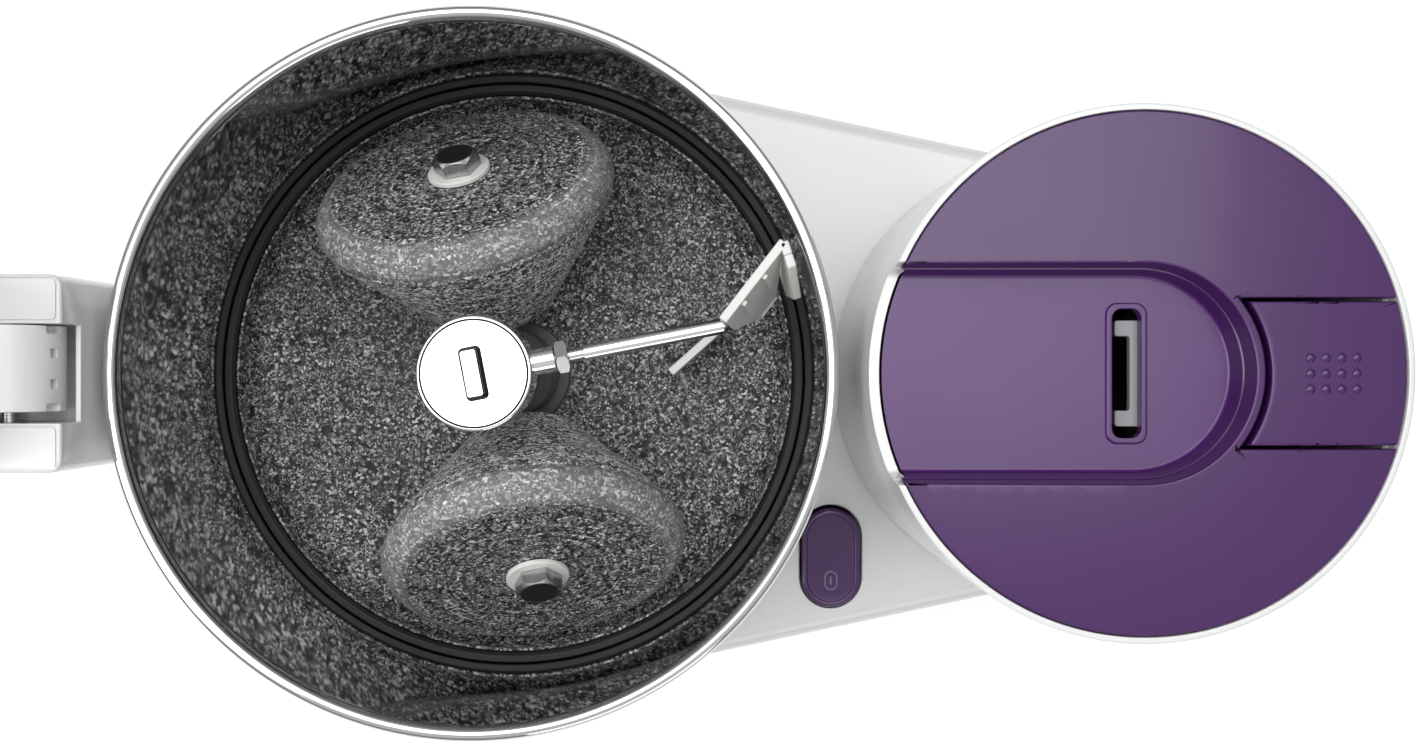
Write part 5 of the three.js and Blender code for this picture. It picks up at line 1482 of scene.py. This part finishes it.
class GRINDER_OT_lock_arm(bpy.types.Operator):
    """Lock arm, swung open: its shell, cover, knuckle, hub socket and latch tongue"""
    bl_idname = "grinder.lock_arm"
    bl_label = "Lock Arm"

    def execute(self, context):
        piece("arm_tray", arm_shell_form(), "arm", "white_plastic", ("arm_shell",), ARM)
        piece("arm_lid", arm_cover_form(), "arm", "white_plastic", ("arm_top_cover",), ARM)
        piece("knuckle", knuckle_form(), "arm", "pale_plastic", ("arm_knuckle",), ARM)
        piece("hub_socket", lug_socket_form(), "arm", "grey_plastic", ("lug_socket",), ARM)
        piece("tongue", tongue_form(), "arm", "grey_plastic", ("latch_tongue",), ARM)
        return {"FINISHED"}


# What stays as the frame has it


class GRINDER_OT_inner_works(bpy.types.Operator):
    """Finishes of the drive, the motor and the other pieces kept from the frame"""
    bl_idname = "grinder.inner_works"
    bl_label = "Inner Works"

    def execute(self, context):
        slots = {part["node"]: part["material_slot"] for part in frame["record"]["subparts"]}
        for name, node in frame["nodes"].items():
            finish = finish_of(slots[name])
            for holder in node.material_slots:
                holder.material = finish
        return {"FINISHED"}


# Stage


# The lens and the width of the picture, in pixels, and the camera's place beside the drum's axis
FOCAL_LENGTH, PICTURE_WIDTH = 1397, 1416
CAMERA_ASIDE = 0.075


def lamp(name, place, target, width, height, power):
    data = bpy.data.lights.new(name, "AREA")
    data.shape = "RECTANGLE"
    data.size, data.size_y = width, height
    data.energy = power
    obj = bpy.data.objects.new(name, data)
    bpy.context.scene.collection.objects.link(obj)
    obj.location = place
    obj.rotation_euler = (Vector(target) - Vector(place)).to_track_quat("-Z", "Y").to_euler()


class GRINDER_OT_stage(bpy.types.Operator):
    """Pale floor, soft studio light and the camera over the table"""
    bl_idname = "grinder.stage"
    bl_label = "Stage"

    def execute(self, context):
        scene = context.scene
        sizes = scene.grinder_stage
        bm = bmesh.new()
        bmesh.ops.create_grid(bm, x_segments=1, y_segments=1, size=sizes.floor / 2)
        mesh = bpy.data.meshes.new("floor")
        bm.to_mesh(mesh)
        bm.free()
        mesh.materials.append(floor_finish().material)
        floor = bpy.data.objects.new("floor", mesh)
        scene.collection.objects.link(floor)

        lamp("key_light", (0.0, 0.42, 1.55), (0, 0, 0.1), 1.5, 1.25, sizes.key)
        lamp("side_light", (-1.05, -0.3, 1.45), (0, 0, 0.12), 0.9, 0.9, sizes.fill)
        lamp("front_light", (0.5, -1.7, 0.9), (0, 0, 0.12), 1.1, 0.8, sizes.front)

        world = scene.world or bpy.data.worlds.new("studio")
        scene.world = world
        sky = Nodes(world)
        light = sky.node("Background", {}, {
            "Color": (0.93, 0.95, 1.0, 1), "Strength": 0.24,
        })
        way = sky.node("TexCoord", output="Generated")
        height = sky.node("SeparateXYZ", {}, {0: way}, "Z")
        mirrored = sky.node("MapRange", {"interpolation_type": "SMOOTHSTEP"}, {
            0: height, 1: 0.1, 2: 0.85, 3: 0.22, 4: 0.72,
        })
        eye = sky.node("LightPath", output="Is Camera Ray")
        shown = sky.node("Background", {}, {
            "Color": (1, 1, 1, 1), "Strength": mirrored + eye * (1 - mirrored),
        })
        both = sky.node("MixShader", {}, {0: sky.seen_rays(), 1: light, 2: shown})
        sky.node("OutputWorld", {}, {0: both})

        data = bpy.data.cameras.new("camera")
        data.sensor_width = 36
        data.lens = data.sensor_width * FOCAL_LENGTH / PICTURE_WIDTH
        data.clip_start = 0.01
        camera = bpy.data.objects.new("camera", data)
        scene.collection.objects.link(camera)
        camera.location = (DRUM_AXIS * MM + CAMERA_ASIDE, 0, sizes.camera_height)
        scene.camera = camera
        scene.view_settings.view_transform = "Standard"
        return {"FINISHED"}


# Panel and registration


OPERATORS = (
    GRINDER_OT_inner_works, GRINDER_OT_housing, GRINDER_OT_tower, GRINDER_OT_power_switch,
    GRINDER_OT_hinge, GRINDER_OT_drum, GRINDER_OT_hub, GRINDER_OT_scraper, GRINDER_OT_rollers,
    GRINDER_OT_lock_arm, GRINDER_OT_stage,
)


class GRINDER_PT_panel(bpy.types.Panel):
    """Pieces of the wet grinder and their sizes"""
    bl_idname = "GRINDER_PT_panel"
    bl_label = "Wet Grinder"
    bl_space_type = "VIEW_3D"
    bl_region_type = "UI"
    bl_category = "Wet Grinder"

    def draw(self, context):
        layout = self.layout
        for name, kind in GROUPS.items():
            box = layout.box()
            box.label(text=kind.__name__)
            group = getattr(context.scene, name)
            for prop in kind.__annotations__:
                box.prop(group, prop)
        for operator in OPERATORS:
            layout.operator(operator.bl_idname)


GROUPS = {
    "grinder_drum": DrumSizes, "grinder_stone": StoneSizes, "grinder_hub": HubSizes,
    "grinder_scraper": ScraperSizes, "grinder_body": BodySizes, "grinder_tower": TowerSizes,
    "grinder_arm": ArmSizes, "grinder_colours": FinishColours, "grinder_stage": StageSizes,
}


def register():
    for kind in (*GROUPS.values(), *OPERATORS, GRINDER_PT_panel):
        bpy.utils.register_class(kind)
    for name, kind in GROUPS.items():
        setattr(bpy.types.Scene, name, bpy.props.PointerProperty(type=kind))


def unregister():
    for name in GROUPS:
        delattr(bpy.types.Scene, name)
    for kind in (GRINDER_PT_panel, *reversed(OPERATORS), *GROUPS.values()):
        bpy.utils.unregister_class(kind)


def main():
    register()
    for operator in OPERATORS:
        group, name = operator.bl_idname.split(".")
        getattr(getattr(bpy.ops, group), name)()


if __name__ == "__main__":
    main()
